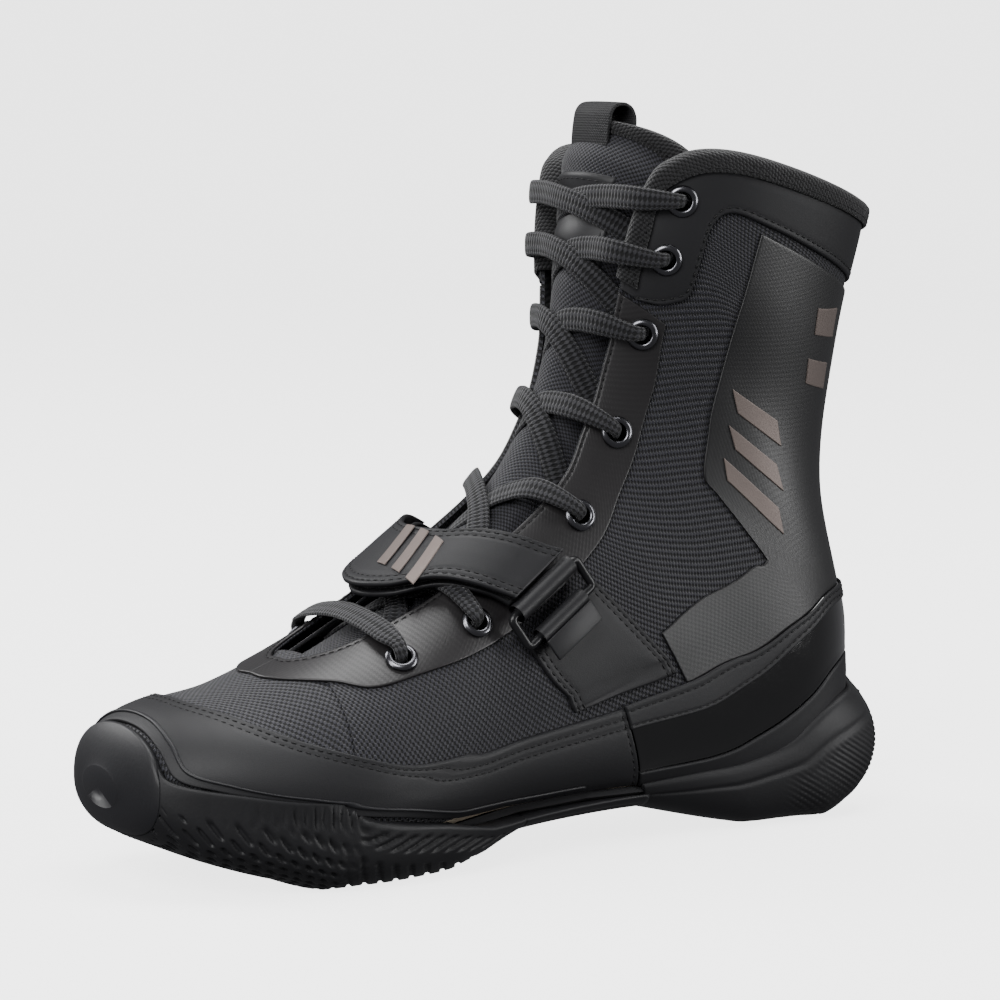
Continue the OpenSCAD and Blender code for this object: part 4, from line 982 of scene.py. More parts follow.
@dataclass
class Lacing:
    """The flat lace from the bottom bar to the tucked ends."""

    bore: float = 6.0
    fine: int = 6
    # How much wider and thicker the braid is than the plain cord, as it bulges when soft
    wider: float = 1.08
    thicker: float = 1.3

    @property
    def in_bore(self) -> tuple[float, float]:
        """Half width and half thickness inside an eyelet."""
        return self.bore * 0.36, self.bore * 0.2

    def under(self, e: Sequence[float]) -> float:
        """Lift under the throat's edge beside an eyelet."""
        return LIFTS.lace_under if e[0] > 11 else LIFTS.lining_low - 1.6 - LIFTS.lace_t / 2

    def crossing(self, a: Sequence[float], b: Sequence[float], side: int,
                 level: float) -> list[tuple[float, ...]]:
        """Control points from eyelet a on one side over to eyelet b on the other.

        Args:
            a: The lower eyelet.
            b: The upper eyelet.
            side: 1 where a lies on the outer side, otherwise -1.
            level: Lift at the middle.

        Returns:
            Rows of u, v, lift, half width and half thickness.
        """
        hw, ht = LIFTS.lace_w / 2, LIFTS.lace_t / 2
        bw, bt = self.in_bore
        over, low = LIFTS.lace_over, self.under(a)
        deep = LIFTS.lining_low - 1.4 - 1.8

        def mix(x: float, y: float, t: float) -> float:
            """Share t of the way from x to y."""
            return x + (y - x) * t

        return [(a[0], side * a[1], -1.5, bw, bt),
                (a[0], side * (a[1] - 0.5), deep, bw, bt),
                (mix(a[0], b[0], 0.12), side * (a[2] - 1), low - 0.1, hw, ht),
                (mix(a[0], b[0], 0.32), side * a[2] * 0.5, mix(low, level, 0.6), hw, ht),
                (mix(a[0], b[0], 0.5), 0, level, hw, ht),
                (mix(a[0], b[0], 0.68), -side * b[2] * 0.5, mix(level, over, 0.25), hw, ht),
                (mix(a[0], b[0], 0.83), side * (5 - b[2]), over - (0 if b[0] > 11 else 2.2),
                 hw, ht),
                (mix(a[0], b[0], 0.95), side * (5.2 - b[1]), over + 0.3, 2.8, 1),
                (b[0], side * (0.8 - b[1]), LIFTS.flange_low + 1.3, bw, bt)]

    def tail(self, e: Sequence[float], side: int) -> list[tuple[float, ...]]:
        """Control points of a lace end inside the shaft."""
        low, w = LIFTS.lining_low - 1.5, LIFTS.lace_w / 2
        bw, bt = self.in_bore
        drops = ((0, 0, -1.5 - low, bw, bt), (0, 0.5, LIFTS.lining_low - 3.2 - low, bw, bt),
                 (0.1, 5, LIFTS.lace_under - low, 2.8, 0.8), (0.3, 12, -0.6, w, 0.7),
                 (0.7, 19, 0, w, 0.7), (1.3, 25, 0, w, 0.7), (1.9, 29, 0, w, 0.7),
                 (2.5, 32, 0, w, 0.7), (3, 34, -0.9, 1.5, 1))
        return [(e[0] - d[0], side * (e[1] + d[1]), low + d[2], d[3], d[4]) for d in drops]

    def bar(self) -> list[tuple[float, ...]]:
        """Control points of half the straight bar over the bottom eyelets."""
        e, hw, ht = EYELETS[6], LIFTS.lace_w / 2, LIFTS.lace_t / 2
        over = LIFTS.lace_over
        return [(e[0], e[1] - 0.8, LIFTS.flange_low + 1.3, *self.in_bore),
                (e[0], e[1] - 4.6, over + 0.2, 2.5, 1), (e[0] - 0.05, e[1] - 12, over, hw, ht),
                (e[0] - 0.1, e[1] * 0.35, over - 1, hw, ht), (e[0] - 0.1, 0, over - 1.5, hw, ht)]

    def strand(self, side: int) -> list[tuple[float, ...]]:
        """Control points of one strand from the bottom eyelet to its end."""
        out: list[tuple[float, ...]] = []
        for k in range(6, 0, -1):
            s = side if k % 2 == 0 else -side
            level = LIFTS.lace_under + (4.4 if s > 0 else 2.0)
            out += self.crossing(EYELETS[k], EYELETS[k - 1], s, level)
        return out + self.tail(EYELETS[0], side)

    def made(self) -> None:
        """Builds the lace as one flat braided band."""
        half = self.bar()
        back = [(p[0], -p[1], *p[2:]) for p in half[-2::-1]]
        route = np.array(self.strand(1)[::-1] + half + back + self.strand(-1), float)
        n = len(route)
        x = np.linspace(0, n - 1, (n - 1) * self.fine + 1)
        i = np.clip(np.floor(x).astype(int), 0, n - 2)
        rows = [route[np.clip(i + k, 0, n - 1)] for k in (-1, 0, 1, 2)]
        fine = catmull(rows[0], rows[1], rows[2], rows[3], (x - i)[:, None])
        centre = LAST.lay(fine[:, :3])
        t = np.gradient(centre, axis=0)
        t /= np.linalg.norm(t, axis=1, keepdims=True)
        climb = LAST.ring(fine[:, 0] + 0.05, fine[:, 1]) - LAST.ring(fine[:, 0] - 0.05,
                                                                     fine[:, 1])
        across = climb - (climb * t).sum(1, keepdims=True) * t
        w = across / np.linalg.norm(across, axis=1, keepdims=True)
        h = np.cross(t, w)
        around = np.linspace(0, math.tau, 21)
        c, s = power(np.cos(around), 0.75), power(np.sin(around), 0.75)
        points = (centre[:, None] + w[:, None] * (fine[:, 3:4] * self.wider * c)[..., None]
                  + h[:, None] * (fine[:, 4:5] * self.thicker * s)[..., None])
        girth = around / math.tau * 17.0
        cloth = np.stack([run_lengths(centre[None], 1)[0][:, None] * np.ones(len(around)),
                          np.broadcast_to(girth, (len(x), len(around)))], -1) * MM
        mesh = grid_mesh("lace_braid", points, cloth, wrapped=True, capped=True)
        finished("lace_braid", mesh, "boot", LACE_BRAID, ("lace",))


@dataclass
class RingFrame:
    """The frame of the wire ring: +X along its bars, +Y from the upper bar down."""

    wire: float = 3.0
    play: float = 0.35

    def __post_init__(self) -> None:
        """Works out the frame from the places of the two long bars."""
        up = [LAST.skin(np.array(u), np.array(v), 6.8) for u, v in ((6.02, 58.5), (6.96, 56.5))]
        low = [LAST.skin(np.array(u), np.array(v), 5.2) for u, v in ((6.12, 69), (7.04, 66.5))]
        self.origin = (up[0] + up[1]) / 2
        long = up[1] - up[0]
        self.x = long / np.linalg.norm(long)
        raw = (low[0] + low[1]) / 2 - self.origin
        gap = raw - (raw @ self.x) * self.x
        self.height = float(np.linalg.norm(gap))
        self.y = gap / self.height
        self.z = np.cross(self.x, self.y)
        self.bar = float(np.linalg.norm(long))
        self.width = self.bar + self.wire + 2

    def at(self, places: Array) -> Array:
        """Points of the boot from points of this frame."""
        return (self.origin + places[..., 0:1] * self.x + places[..., 1:2] * self.y
                + places[..., 2:3] * self.z)


@dataclass
class InstepStrap:
    """The strap over the instep, its ring and the keeper that holds the ring."""

    sewing: Sewing
    flap_sewing: Sewing
    ring: RingFrame = field(default_factory=RingFrame)
    thick: float = 1.5

    def lower_run(self) -> None:
        """Builds the strap from the ring over the instep to the inner side."""
        Panel("strap_lower", STRAP_FRONT, STRAP_REAR, 0.0, self.thick, STRAP_HIDE,
              ("strap_base",), gap=0.1, wall=0.9, puff=0.1,
              seams=(("both", 2.0), ("both", 4.2))).made(self.sewing)
        for name, body, first, last, low in (
                ("loop_patch", "boot", 2, 8, self.thick + 0.45),
                ("hook_patch", "strap_flap", 3, 7, self.thick + 1.6)):
            Panel(name, STRAP_FRONT.part(first, last), STRAP_REAR.part(first, last), low,
                  low + 0.7, HOOK_TAPE, ("strap_loop" if body == "boot" else "strap_hook",),
                  body=body, gap=5.0, wall=0.6).made()

    def upper_run(self) -> None:
        """Builds the flap that lies back over the strap, with its foil bars."""
        low = self.thick + 2.75
        front = Edge(((6.04, 54, 8.6 - low),)).joined(STRAP_FRONT.part(1, 8))
        rear = Edge(((6.93, 52, 8.6 - low),)).joined(STRAP_REAR.part(1, 8))
        Panel("strap_upper", front, rear, low, low + self.thick, STRAP_HIDE, ("strap_flap",),
              body="strap_flap", gap=0.1, roll=0.9, puff=0.35, wall=1.1,
              seams=(("both", 2.0), ("both", 4.4), ("end", 2.2))).made(self.flap_sewing)
        high = low + self.thick + 0.3
        for k, v in enumerate((22, 13, 4)):
            Panel(f"strap_bar_{k}", Edge(((5.05, v - 2, 3.1), (5.7, v - 7, 3.1))),
                  Edge(((5.05, v + 3, 3.1), (5.7, v - 2, 3.1))), high, high + 0.4, FOIL,
                  ("strap_bars",) if k == 0 else (), body="strap_flap", step=0.8, gap=0.1,
                  roll=0.25, wall=0.0).made()

    def folds(self) -> None:
        """Builds the leather rolled round each bar of the ring."""
        inner = self.ring.wire / 2 + self.ring.play
        for name, body, y, wall, length, node in (
                ("strap_roll", "strap_flap", 0.0, self.thick, self.ring.bar - 1, "strap_fold"),
                ("keeper_roll", "boot", self.ring.height, 1.1,
                 self.ring.width - self.ring.wire - 8, "ring_keeper")):
            outer = inner + wall
            section = [(inner * math.cos(a), inner * math.sin(a))
                       for a in np.linspace(0, math.tau, 25)]
            section += [(outer * math.cos(a), outer * math.sin(a))
                        for a in np.linspace(math.tau, 0, 33)]
            section.append(section[0])
            if body == "boot":
                tab = [(inner + 0.2, -outer), (inner + 8.2, -outer), (inner + 8.2, -inner),
                       (inner + 0.2, -inner)]
                self.plate("keeper_tab", tab, length, y)
            ends = np.linspace(-length / 2, length / 2, 18)
            pts = np.array([[(x, y + a, b) for a, b in section] for x in ends])
            mesh = grid_mesh(name, self.ring.at(pts), wrapped=True)
            finished(name, mesh, body, STRAP_HIDE, (node,))

    def plate(self, name: str, section: Sequence[tuple[float, float]], length: float,
              y: float) -> None:
        """Builds a flat tab below the lower bar.

        Args:
            name: The piece's name.
            section: Corners of its section in the ring's frame.
            length: Length along the bar in millimetres.
            y: Distance of the bar from the frame's origin.
        """
        bm = bmesh.new()
        flat = [bm.verts.new(self.ring.at(np.array([-length / 2, y + a, b])) * MM)
                for a, b in section]
        face = bm.faces.new(flat)
        grown = bmesh.ops.extrude_face_region(bm, geom=[face])
        moved = [v for v in grown["geom"] if isinstance(v, bmesh.types.BMVert)]
        bmesh.ops.translate(bm, verts=moved, vec=Vector(self.ring.x) * length * MM)
        bmesh.ops.bevel(bm, geom=bm.edges[:], offset=0.4 * MM, affect="EDGES", segments=2,
                        profile=0.5, material=-1)
        bmesh.ops.recalc_face_normals(bm, faces=bm.faces)
        mesh = bpy.data.meshes.new(name)
        bm.to_mesh(mesh)
        bm.free()
        finished(name, mesh, "boot", STRAP_HIDE, ())

    def wire_ring(self) -> None:
        """Builds the ring as a rounded rectangle of bent wire."""
        w, h, r = self.ring.width / 2, self.ring.height, 1.6
        path = []
        for cx, cy, start in ((w - r, h - r, 0), (-w + r, h - r, 90), (-w + r, r, 180),
                              (w - r, r, 270)):
            for a in np.linspace(start, start + 90, 9):
                path.append((cx + r * math.cos(math.radians(a)),
                             cy + r * math.sin(math.radians(a))))
        path.append(path[0])
        spine = np.array(path)
        step = np.roll(spine[:-1], -1, 0) - np.roll(spine[:-1], 1, 0)
        step = np.vstack([step, step[:1]])
        step /= np.linalg.norm(step, axis=1, keepdims=True)
        side = np.stack([step[:, 1], -step[:, 0]], 1)
        around = np.linspace(0, math.tau, 17)
        pts = np.zeros((len(spine), len(around), 3))
        for k, a in enumerate(around):
            pts[:, k, :2] = spine + side * (self.ring.wire / 2 * math.cos(a))
            pts[:, k, 2] = self.ring.wire / 2 * math.sin(a)
        mesh = grid_mesh("ring_wire", self.ring.at(pts), wrapped=True)
        finished("ring_wire", mesh, "strap_ring", COATED_WIRE, ("strap_ring",))

    def made(self) -> None:
        """Builds the whole strap."""
        self.lower_run()
        self.upper_run()
        self.folds()
        self.wire_ring()


@dataclass
class Tongue:
    """The padded tongue with its binding, label and pull tab."""

    sewing: Sewing
    base: float = 3.45
    top: float = 13.02
    bow: float = 0.3
    thick: float = 6.0
    crown: float = 3.4
    spans: tuple[tuple[float, float], ...] = (
        (3.45, 30), (4.2, 31), (5, 35), (6, 43), (7, 47), (8, 48), (9, 48), (10, 50), (11, 53),
        (12, 58), (12.6, 62), (13.02, 66))

    @property
    def low(self) -> float:
        """Lift of the tongue's back."""
        return LIFTS.tongue_high - self.thick

    def span(self, u: Array) -> Array:
        """Half the angle that the tongue spans at a station."""
        table = np.array(self.spans)
        return np.interp(u, table[:, 0], table[:, 1])

    def front(self, u: Array, v: Array) -> Array:
        """Lift of the crowned front, pressed in where the laces cross."""
        half = self.span(u)
        share = np.clip(np.abs(v) / half, 0, 1)
        from_side = (1 - share) * half * 0.72
        from_top = (self.top - self.bow * share ** 3 - u) * 32
        ease = np.clip((np.minimum(from_side, from_top) - 5) / 11, 0, 1)
        rise = np.clip((5.1 - u) / 1.3, 0, 1)
        press = sum(np.exp(-((u - c) / 0.26) ** 2)
                    for c in (12.05, 11.2, 9.83, 8.28, 6.58, 5.08))
        puff = self.crown * (1 - 0.35 * share ** 2) + 1.5 - 1.9 * press
        return (LIFTS.tongue_high + ease * ease * (3 - 2 * ease) * puff * (1 - rise)
                + 4.6 * rise * rise * (3 - 2 * rise))

    def pad(self) -> None:
        """Builds the padded tongue as one closed pad, mesh in front and lining behind."""
        run = 210.0
        near = np.array(NEAR) + 0.01
        s = np.concatenate([[0.0], near / run, np.arange(6, run - 6, 1.5) / run,
                            1 - near[::-1] / run, [1.0]])
        wide = 64.0
        side = np.concatenate([[0.0], near / wide, np.arange(6, wide - 6, 1.4) / wide,
                               1 - near[::-1] / wide, [1.0]]) * 2 - 1
        t = side[None, :]
        u = self.base + (self.top - self.bow * np.abs(t) ** 3 - self.base) * s[:, None]
        v = -t * (self.span(u) - 1)
        reach = np.minimum((1 - np.abs(t)) * wide / 2, np.minimum(s, 1 - s)[:, None] * run)
        x = np.clip(reach / 2.6, 0, 1)
        roll = np.sqrt(np.clip(1 - (1 - x) ** 2, 0, 1))
        mid = LIFTS.tongue_high - self.thick / 2
        top = mid + (self.front(u, v) - mid) * roll
        back = np.minimum(mid, top - 3) - self.thick / 2 * roll * np.clip((u - 3.2) / 1.5, 0.2, 1)
        points = np.concatenate([LAST.inset(u, v, top),
                                 LAST.inset(u, v, back)[:, -2::-1]], 1)
        cloth = np.stack([np.broadcast_to(run_lengths(points, 0)[:, len(side) // 2][:, None],
                                          points.shape[:2]), run_lengths(points, 1)], -1) * MM
        mesh = grid_mesh("tongue_pad", points, cloth, wrapped=True)
        piece = finished("tongue_pad", mesh, "", TONGUE_MESH,
                         ("tongue_front", "tongue_foam", "tongue_lining"))
        mesh.materials.append(LINING.made())
        inner = Vector(LAST.inset(np.array(9.0), np.array(0.0), mid - 20.0) * MM)
        for face in mesh.polygons:
            if face.normal.dot(inner - face.center) > 0.35 * (inner - face.center).length:
                face.material_index = 1
        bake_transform(piece)

    def rim(self, s: Array, k: float, lift: float) -> Array:
        """Points along the tongue's sides and top.

        Args:
            s: Shares of the way up one side, over the top and down the other.
            k: Degrees in from the edge.
            lift: Lift of the points.

        Returns:
            Points in millimetres.
        """
        q = s * 3
        on_side = (q < 1) | (q > 2)
        climb = 9 + 3.7 * np.where(q < 1, q, 3 - q)
        u = np.where(on_side, climb, 12.72 + 0.3 * (1 - np.abs(2 * q - 3) ** 3) - k / 32)
        span = self.span(np.where(on_side, climb, u + k / 32))
        v = np.where(q < 1, span - k, np.where(q > 2, k - span,
                                               (span - k) * (3 - 2 * q)))
        return LAST.inset(u, v, np.full_like(u, lift))

    def binding(self) -> None:
        """Builds the knit tape folded over the tongue's sides and top."""
        s = np.linspace(0, 1, 330)
        high, mid = LIFTS.tongue_high + 0.3, LIFTS.tongue_high - self.thick / 2
        half = self.thick / 2 + 0.3
        outer = [(6.0, high + 0.1), (6.0, high + 0.6), (5.5, high + 1.0), (3, high + 1.1)]
        outer += [(1.2 + 2.6 * math.cos(a), mid + (half + 1) * math.sin(a))
                  for a in np.linspace(math.pi / 2, math.pi * 1.5, 11)]
        outer += [(6.0, mid - half - 1), (6.0, mid - half)]
        outer += [(1.2 + 1.6 * math.cos(a), mid + half * math.sin(a))
                  for a in np.linspace(math.pi * 1.5, math.pi / 2, 7)]
        outer.append(outer[0])
        points = np.stack([self.rim(s, k, lift) for k, lift in outer], 1)
        cloth = np.stack([run_lengths(points, 0)[:, :1] * np.ones(len(outer)),
                          run_lengths(points, 1)], -1) * MM
        mesh = grid_mesh("tongue_tape", points, cloth, wrapped=True, capped=True)
        finished("tongue_tape", mesh, "tongue", KNIT_RIB, ("tongue_binding",))
        row = self.rim(s, 4.6, high + 1.05)
        inner = self.rim(s, 4.6, high - 2)
        normals = row - inner
        self.sewing.row(row, normals / np.linalg.norm(normals, axis=1, keepdims=True))

    def label(self) -> None:
        """Builds the blank label with a stitched border."""
        u = np.linspace(11.2, 12.4, 46)[:, None]
        v = np.linspace(26, -26, 60)[None, :]
        low = self.front(u, v) + 0.1
        reach = np.minimum(np.minimum(u - 11.2, 12.4 - u) * 30, (26 - np.abs(v)) * 0.72)
        x = np.clip(reach / 1.0, 0, 1)
        points = LAST.inset(u, v, low + 0.9 * np.sqrt(1 - (1 - x) ** 2))
        cloth = np.stack([run_lengths(points, 0), run_lengths(points, 1)], -1) * MM
        mesh = grid_mesh("tongue_patch", points, cloth)
        centre = mesh.polygons[23 * (v.shape[1] - 1) + 30]
        if centre.normal.x > 0:
            mesh.flip_normals()
        finished("tongue_patch", mesh, "tongue", STRAP_HIDE, ("tongue_label",))
        corners = ((11.27, 23), (12.33, 23), (12.33, -23), (11.27, -23), (11.27, 23))
        for (ua, va), (ub, vb) in zip(corners, corners[1:]):
            us, vs = np.linspace(ua, ub, 40), np.linspace(va, vb, 40)
            lift = self.front(us, vs) + 1.0
            row = LAST.inset(us, vs, lift)
            out = row - LAST.inset(us, vs, lift - 3)
            self.sewing.row(row, out / np.linalg.norm(out, axis=1, keepdims=True))

    def tab(self) -> None:
        """Builds the webbing tab folded over the tongue's top edge."""
        origin = LAST.inset(np.array(12.9), np.array(0.0), LIFTS.tongue_high)
        up = origin - LAST.inset(np.array(12.4), np.array(0.0), LIFTS.tongue_high)
        up /= np.linalg.norm(up)
        ahead = np.cross(up, np.array([0.0, 1.0, 0.0]))
        ahead /= np.linalg.norm(ahead)
        if ahead[0] > 0:
            ahead = -ahead
        path = np.array([(-14, 1.3), (-10, 1.4), (-6, 1.9), (-2, 2.2), (2, 2.2), (5, 1.9),
                         (7.2, 0.6), (8.3, -1.6), (8.4, -4.0), (7.2, -6.4), (4.5, -8.0),
                         (1, -8.4), (-4, -8.4), (-9, -8.2)], float)
        i = np.linspace(0, len(path) - 1, 61)
        k = np.clip(np.floor(i).astype(int), 0, len(path) - 2)
        rows = [path[np.clip(k + d, 0, len(path) - 1)] for d in (-1, 0, 1, 2)]
        fine = catmull(rows[0], rows[1], rows[2], rows[3], (i - k)[:, None])
        step = np.gradient(fine, axis=0)
        step /= np.linalg.norm(step, axis=1, keepdims=True)
        normal = np.stack([step[:, 1], -step[:, 0]], 1) * -1
        y = np.linspace(-11, 11, 23)
        sheets = []
        for side in (0.6, -0.6):
            line = fine + normal * side
            shape = (origin + line[:, None, 0:1] * up
                     + (line[:, None, 1:2] - (y ** 2 / 76)[None, :, None]) * ahead)
            shape = shape + y[None, :, None] * np.array([0.0, 1.0, 0.0])
            sheets.append(shape)
        points = np.concatenate([sheets[0], sheets[1][:, ::-1], sheets[0][:, :1]], 1)
        cloth = np.stack([run_lengths(points, 0)[:, :1] * np.ones(points.shape[1]),
                          run_lengths(points, 1)], -1) * MM
        mesh = grid_mesh("pull_loop", points, cloth, wrapped=True, capped=True)
        piece = finished("pull_loop", mesh, "tongue", WEBBING, ("pull_tab",))
        edge = piece.modifiers.new("edge", "BEVEL")
        edge.width, edge.segments, edge.angle_limit = 0.25 * MM, 2, math.radians(40)

    def made(self) -> None:
        """Builds the whole tongue."""
        self.pad()
        self.binding()
        self.label()
        self.tab()


@dataclass
class Sole:
    """The rubber sole in its separate mouldings, and the footbed."""

    midsole: float = 2.5
    gap: float = 0.45
    bumper: float = 2.8
    drops: tuple[tuple[float, float], ...] = (
        (0.9, 2.5), (2, 6.5), (3, 9.4), (3.5, 12.4), (4, 11.6), (5.2, 13), (5.6, 11), (6, 6.5),
        (7.1, 5.5), (7.5, 11), (7.8, 15), (8.3, 16.5), (8.5, 18), (8.75, 15.5), (9, 14.5),
        (9.3, 15), (9.6, 16.5), (9.8, 17))
    walls: tuple[tuple[float, float], ...] = (
        (0.9, 3), (2, 2.4), (4, 1.6), (7, 1.6), (8, 2), (9, 2.5), (9.8, 3))

    def tread(self, u: Array, v: Array) -> Array:
        """Points of the rubber's outer face, flat where it meets the floor."""
        drop, wall = np.array(self.drops), np.array(self.walls)
        p = LAST.ring(u, v, np.interp(u, drop[:, 0], drop[:, 1]),
                      np.interp(u, wall[:, 0], wall[:, 1]), 5.0)
        p[..., 2] = np.maximum(p[..., 2], 0)
        return p

    def seat(self, v: Array) -> Array:
        """Lift of the rubber's inner face, lower under the midsole."""
        return self.gap + (self.midsole + self.gap) * np.clip((np.abs(v - 180) - 53) / -8, 0, 1)

    def moulding(self, name: str, first: int, last: int, rows: int, node: str,
                 relief: Callable[[Array, Array], Array], thin: float = 0.0) -> None:
        """Builds one moulding of the sole.

        Args:
            name: The piece's name.
            first: The first point of the sole's edges that it takes.
            last: The last point.
            rows: Rows along the foot.
            node: The CAD node that it replaces.
            relief: Depth of the pattern from points and distances from the top edge.
            thin: Distance in millimetres over which the rubber thins out to its top edge.
        """
        s = np.linspace(0, 1, rows)
        shell = WALL_TOP.part(first, last).along(s)
        inner = SOLE_TOP.part(first, last).along(s)
        t = np.concatenate([np.linspace(0, 0.2, 42)[:-1], np.linspace(0.2, 0.8, 84)[:-1],
                            np.linspace(0.8, 1, 42)])
        v = shell[:, 1:2] + (360 - 2 * shell[:, 1:2]) * t
        u = shell[:, 0:1] * np.ones_like(t)
        outer = self.tread(u, v)
        lead = np.clip((u - 1) / 0.7, 0, 1)[..., None]
        outer = LAST.skin(u, v, self.gap + self.bumper) * (1 - lead) + outer * lead
        run = run_lengths(outer, 1)
        from_top = np.minimum(run, run[:, -1:] - run)
        if thin:
            climb = run_lengths(outer, 0)
            from_top = np.minimum(from_top, climb[-1] - climb)
            x = np.clip(from_top / thin, 0, 1)[..., None]
            full = 0.12 + 0.88 * np.sqrt(1 - (1 - x) ** 2)
            outer = LAST.skin(u, v, 1.0) * (1 - full) + outer * full
        out = np.gradient(outer, axis=1)
        out = np.cross(out, np.gradient(outer, axis=0))
        out /= np.linalg.norm(out, axis=-1, keepdims=True) + 1e-9
        middle = outer.mean(1, keepdims=True) + np.array([0, 0, 6.0])
        out *= np.sign(((outer - middle) * out).sum(-1, keepdims=True))
        fade = np.clip(np.minimum(s, 1 - s)[:, None] * rows / 6, 0, 1)
        x = np.clip(from_top / 1.1, 0, 1)
        tuck = 0.8 * (1 - np.sqrt(1 - (1 - x) ** 2))
        depth = relief(outer, from_top) * fade + tuck
        outer = outer - out * depth[..., None]
        outer[..., 2] = np.maximum(outer[..., 2], 0)
        w = np.linspace(1, 0, 40)
        vi = inner[:, 1:2] + (360 - 2 * inner[:, 1:2]) * w
        lining = LAST.skin(inner[:, 0:1] * np.ones_like(w), vi, self.seat(vi))
        points = np.concatenate([outer, lining, outer[:, :1]], 1)
        mesh = grid_mesh(name, points, wrapped=True, capped=True)
        finished(name, mesh, "boot", RUBBER, (node,))

    @staticmethod
    def forefoot_relief(p: Array, from_top: Array) -> Array:
        """Slanted grooves on the sides, and studs and chevrons underneath."""
        window = (np.clip((from_top - 3.0) / 1.2, 0, 1) * np.clip((9.6 - from_top) / 1.6, 0, 1)
                  * np.clip((p[..., 0] + 124) / 20, 0, 1) * np.clip((6 - p[..., 0]) / 8, 0, 1))
        slant = (p[..., 0] + from_top * 1.7) / 5.8
        side = 1.0 * window * np.clip((np.cos(slant * math.tau) - 0.25) / 0.5, 0, 1)
        under = np.clip((from_top - 13) / 1.5, 0, 1)
        toe = np.clip((-84 - p[..., 0]) / 10, 0, 1)
        chevron = (p[..., 0] + np.abs(p[..., 1]) * 0.6) / 6.0
        bottom = under * (1 - toe) * np.clip((np.cos(chevron * math.tau) - 0.35) / 0.3, 0, 1)
        pits = np.cos((p[..., 0] + p[..., 1]) / 3.6 * math.pi) * np.cos(
            (p[..., 0] - p[..., 1] + p[..., 2]) / 3.6 * math.pi)
        low = toe * np.clip((from_top - 9.5) / 1.5, 0, 1) * np.clip((pits - 0.25) / 0.25, 0, 1)
        return np.maximum(np.maximum(side, 0.8 * bottom), 0.9 * low)

    @staticmethod
    def heel_relief(p: Array, from_top: Array) -> Array:
        """A fan of fine lines at the back of both sides, and chevrons underneath."""
        window = (np.clip((p[..., 0] - 98) / 8, 0, 1) * np.clip((from_top - 4) / 1.5, 0, 1)
                  * np.clip((21 - from_top) / 2, 0, 1))
        fan = (p[..., 2] + 0.55 * (p[..., 0] - 120)) / 2.1
        lines = 0.45 * window * np.clip((np.cos(fan * math.tau) + 0.1) / 0.6, 0, 1)
        ledge = 0.5 * np.exp(-((from_top - 3.2) / 0.5) ** 2)
        under = np.clip((2.5 - p[..., 2]) / 1.5, 0, 1) * np.clip((from_top - 14) / 2, 0, 1)
        chevron = (p[..., 0] - np.abs(p[..., 1]) * 0.6) / 6.0
        bottom = 0.8 * under * np.clip((np.cos(chevron * math.tau) - 0.35) / 0.3, 0, 1)
        return np.maximum(np.maximum(lines, bottom), ledge)

    @staticmethod
    def arch_relief(p: Array, from_top: Array) -> Array:
        """A shallow channel along each side of the arch."""
        return 0.4 * np.exp(-((from_top - 5) / 1.2) ** 2)

    def toe_cap(self) -> None:
        """Builds the rubber bumper over the toe."""
        end = 0.985
        u = np.concatenate([[0.0, 0.0, 0.03], np.linspace(0.08, end, 60)])[:, None]
        v = np.linspace(0, 360, 145)[None, :]
        x = np.clip((end - u) / 0.07, 0, 1)
        roll = np.sqrt(1 - (1 - x) ** 2)
        on_top = np.clip((80 - np.minimum(v, 360 - v)) / 14, 0, 1)
        low = self.gap
        high = low + self.bumper - (self.bumper - 0.7) * (1 - roll) * on_top
        nose = LAST.ring(np.array(0.0), np.array(90.0)) / 2 + LAST.ring(
            np.array(0.0), np.array(-90.0)) / 2
        sheets = []
        for lift in (high, np.full_like(high, low)):
            sheet = LAST.skin(u, v, lift)
            sheet[0] = nose - np.array([float(lift[0, 0]) + 0.6, 0, 0])
            sheets.append(sheet)
        points = np.concatenate([sheets[0], sheets[1][::-1]], 0)
        points[..., 2] = np.maximum(points[..., 2], 0.2)
        mesh = grid_mesh("toe_cap", points, wrapped=True)
        finished("toe_cap", mesh, "boot", BUMPER_RUBBER, ("toe_bumper",))

    def ridge(self) -> None:
        """Builds the thin raised line above the rubber on the toe guard's foot."""
        edge = GUARD_FOOT.through(0)
        s = np.linspace(0.05, 0.95, 320)
        spots = edge.along(s)
        top = GUARD_TOP.through(0).along(s)
        width = np.linalg.norm(LAST.lay(spots) - LAST.lay(top), axis=-1)[:, None]
        rings = []
        for angle in np.linspace(0, math.tau, 11):
            k = (5.2 + 0.75 * math.cos(angle)) / width
            place = spots * (1 - k) + top * k
            place[:, 2] += LIFTS.overlay_high + 0.35 + 0.5 * math.sin(angle)
            rings.append(LAST.lay(place))
        mesh = grid_mesh("guard_ridge", np.stack(rings, 1), wrapped=True, capped=True)
        finished("guard_ridge", mesh, "boot", BUMPER_RUBBER, ())

    def insole(self) -> None:
        """Builds the removable footbed."""
        edge = Edge(((0.75, 158), (1.05, 144), (2, 137), (3, 136), (4, 136), (5, 136), (6, 137),
                     (7, 139), (8, 141), (8.5, 146), (8.8, 154), (8.95, 166)))
        Panel("insole", edge, edge.mirrored(), -2.4, -5.6, FOOTBED_TOP, ("footbed",),
              body="footbed", step=2.4, roll=2.2, wall=1.2, inside=True).made()

    def made(self) -> None:
        """Builds the sole."""
        self.moulding("sole_forefoot", 0, 7, 300, "outsole_forefoot", self.forefoot_relief)
        self.moulding("sole_arch", 7, 8, 24, "arch_bridge", self.arch_relief)
        self.moulding("sole_heel", 8, 14, 150, "outsole_heel", self.heel_relief, 19.0)
        self.toe_cap()
        self.ridge()
        self.insole()


# ---------------------------------------------------------------- CAD pieces that stay


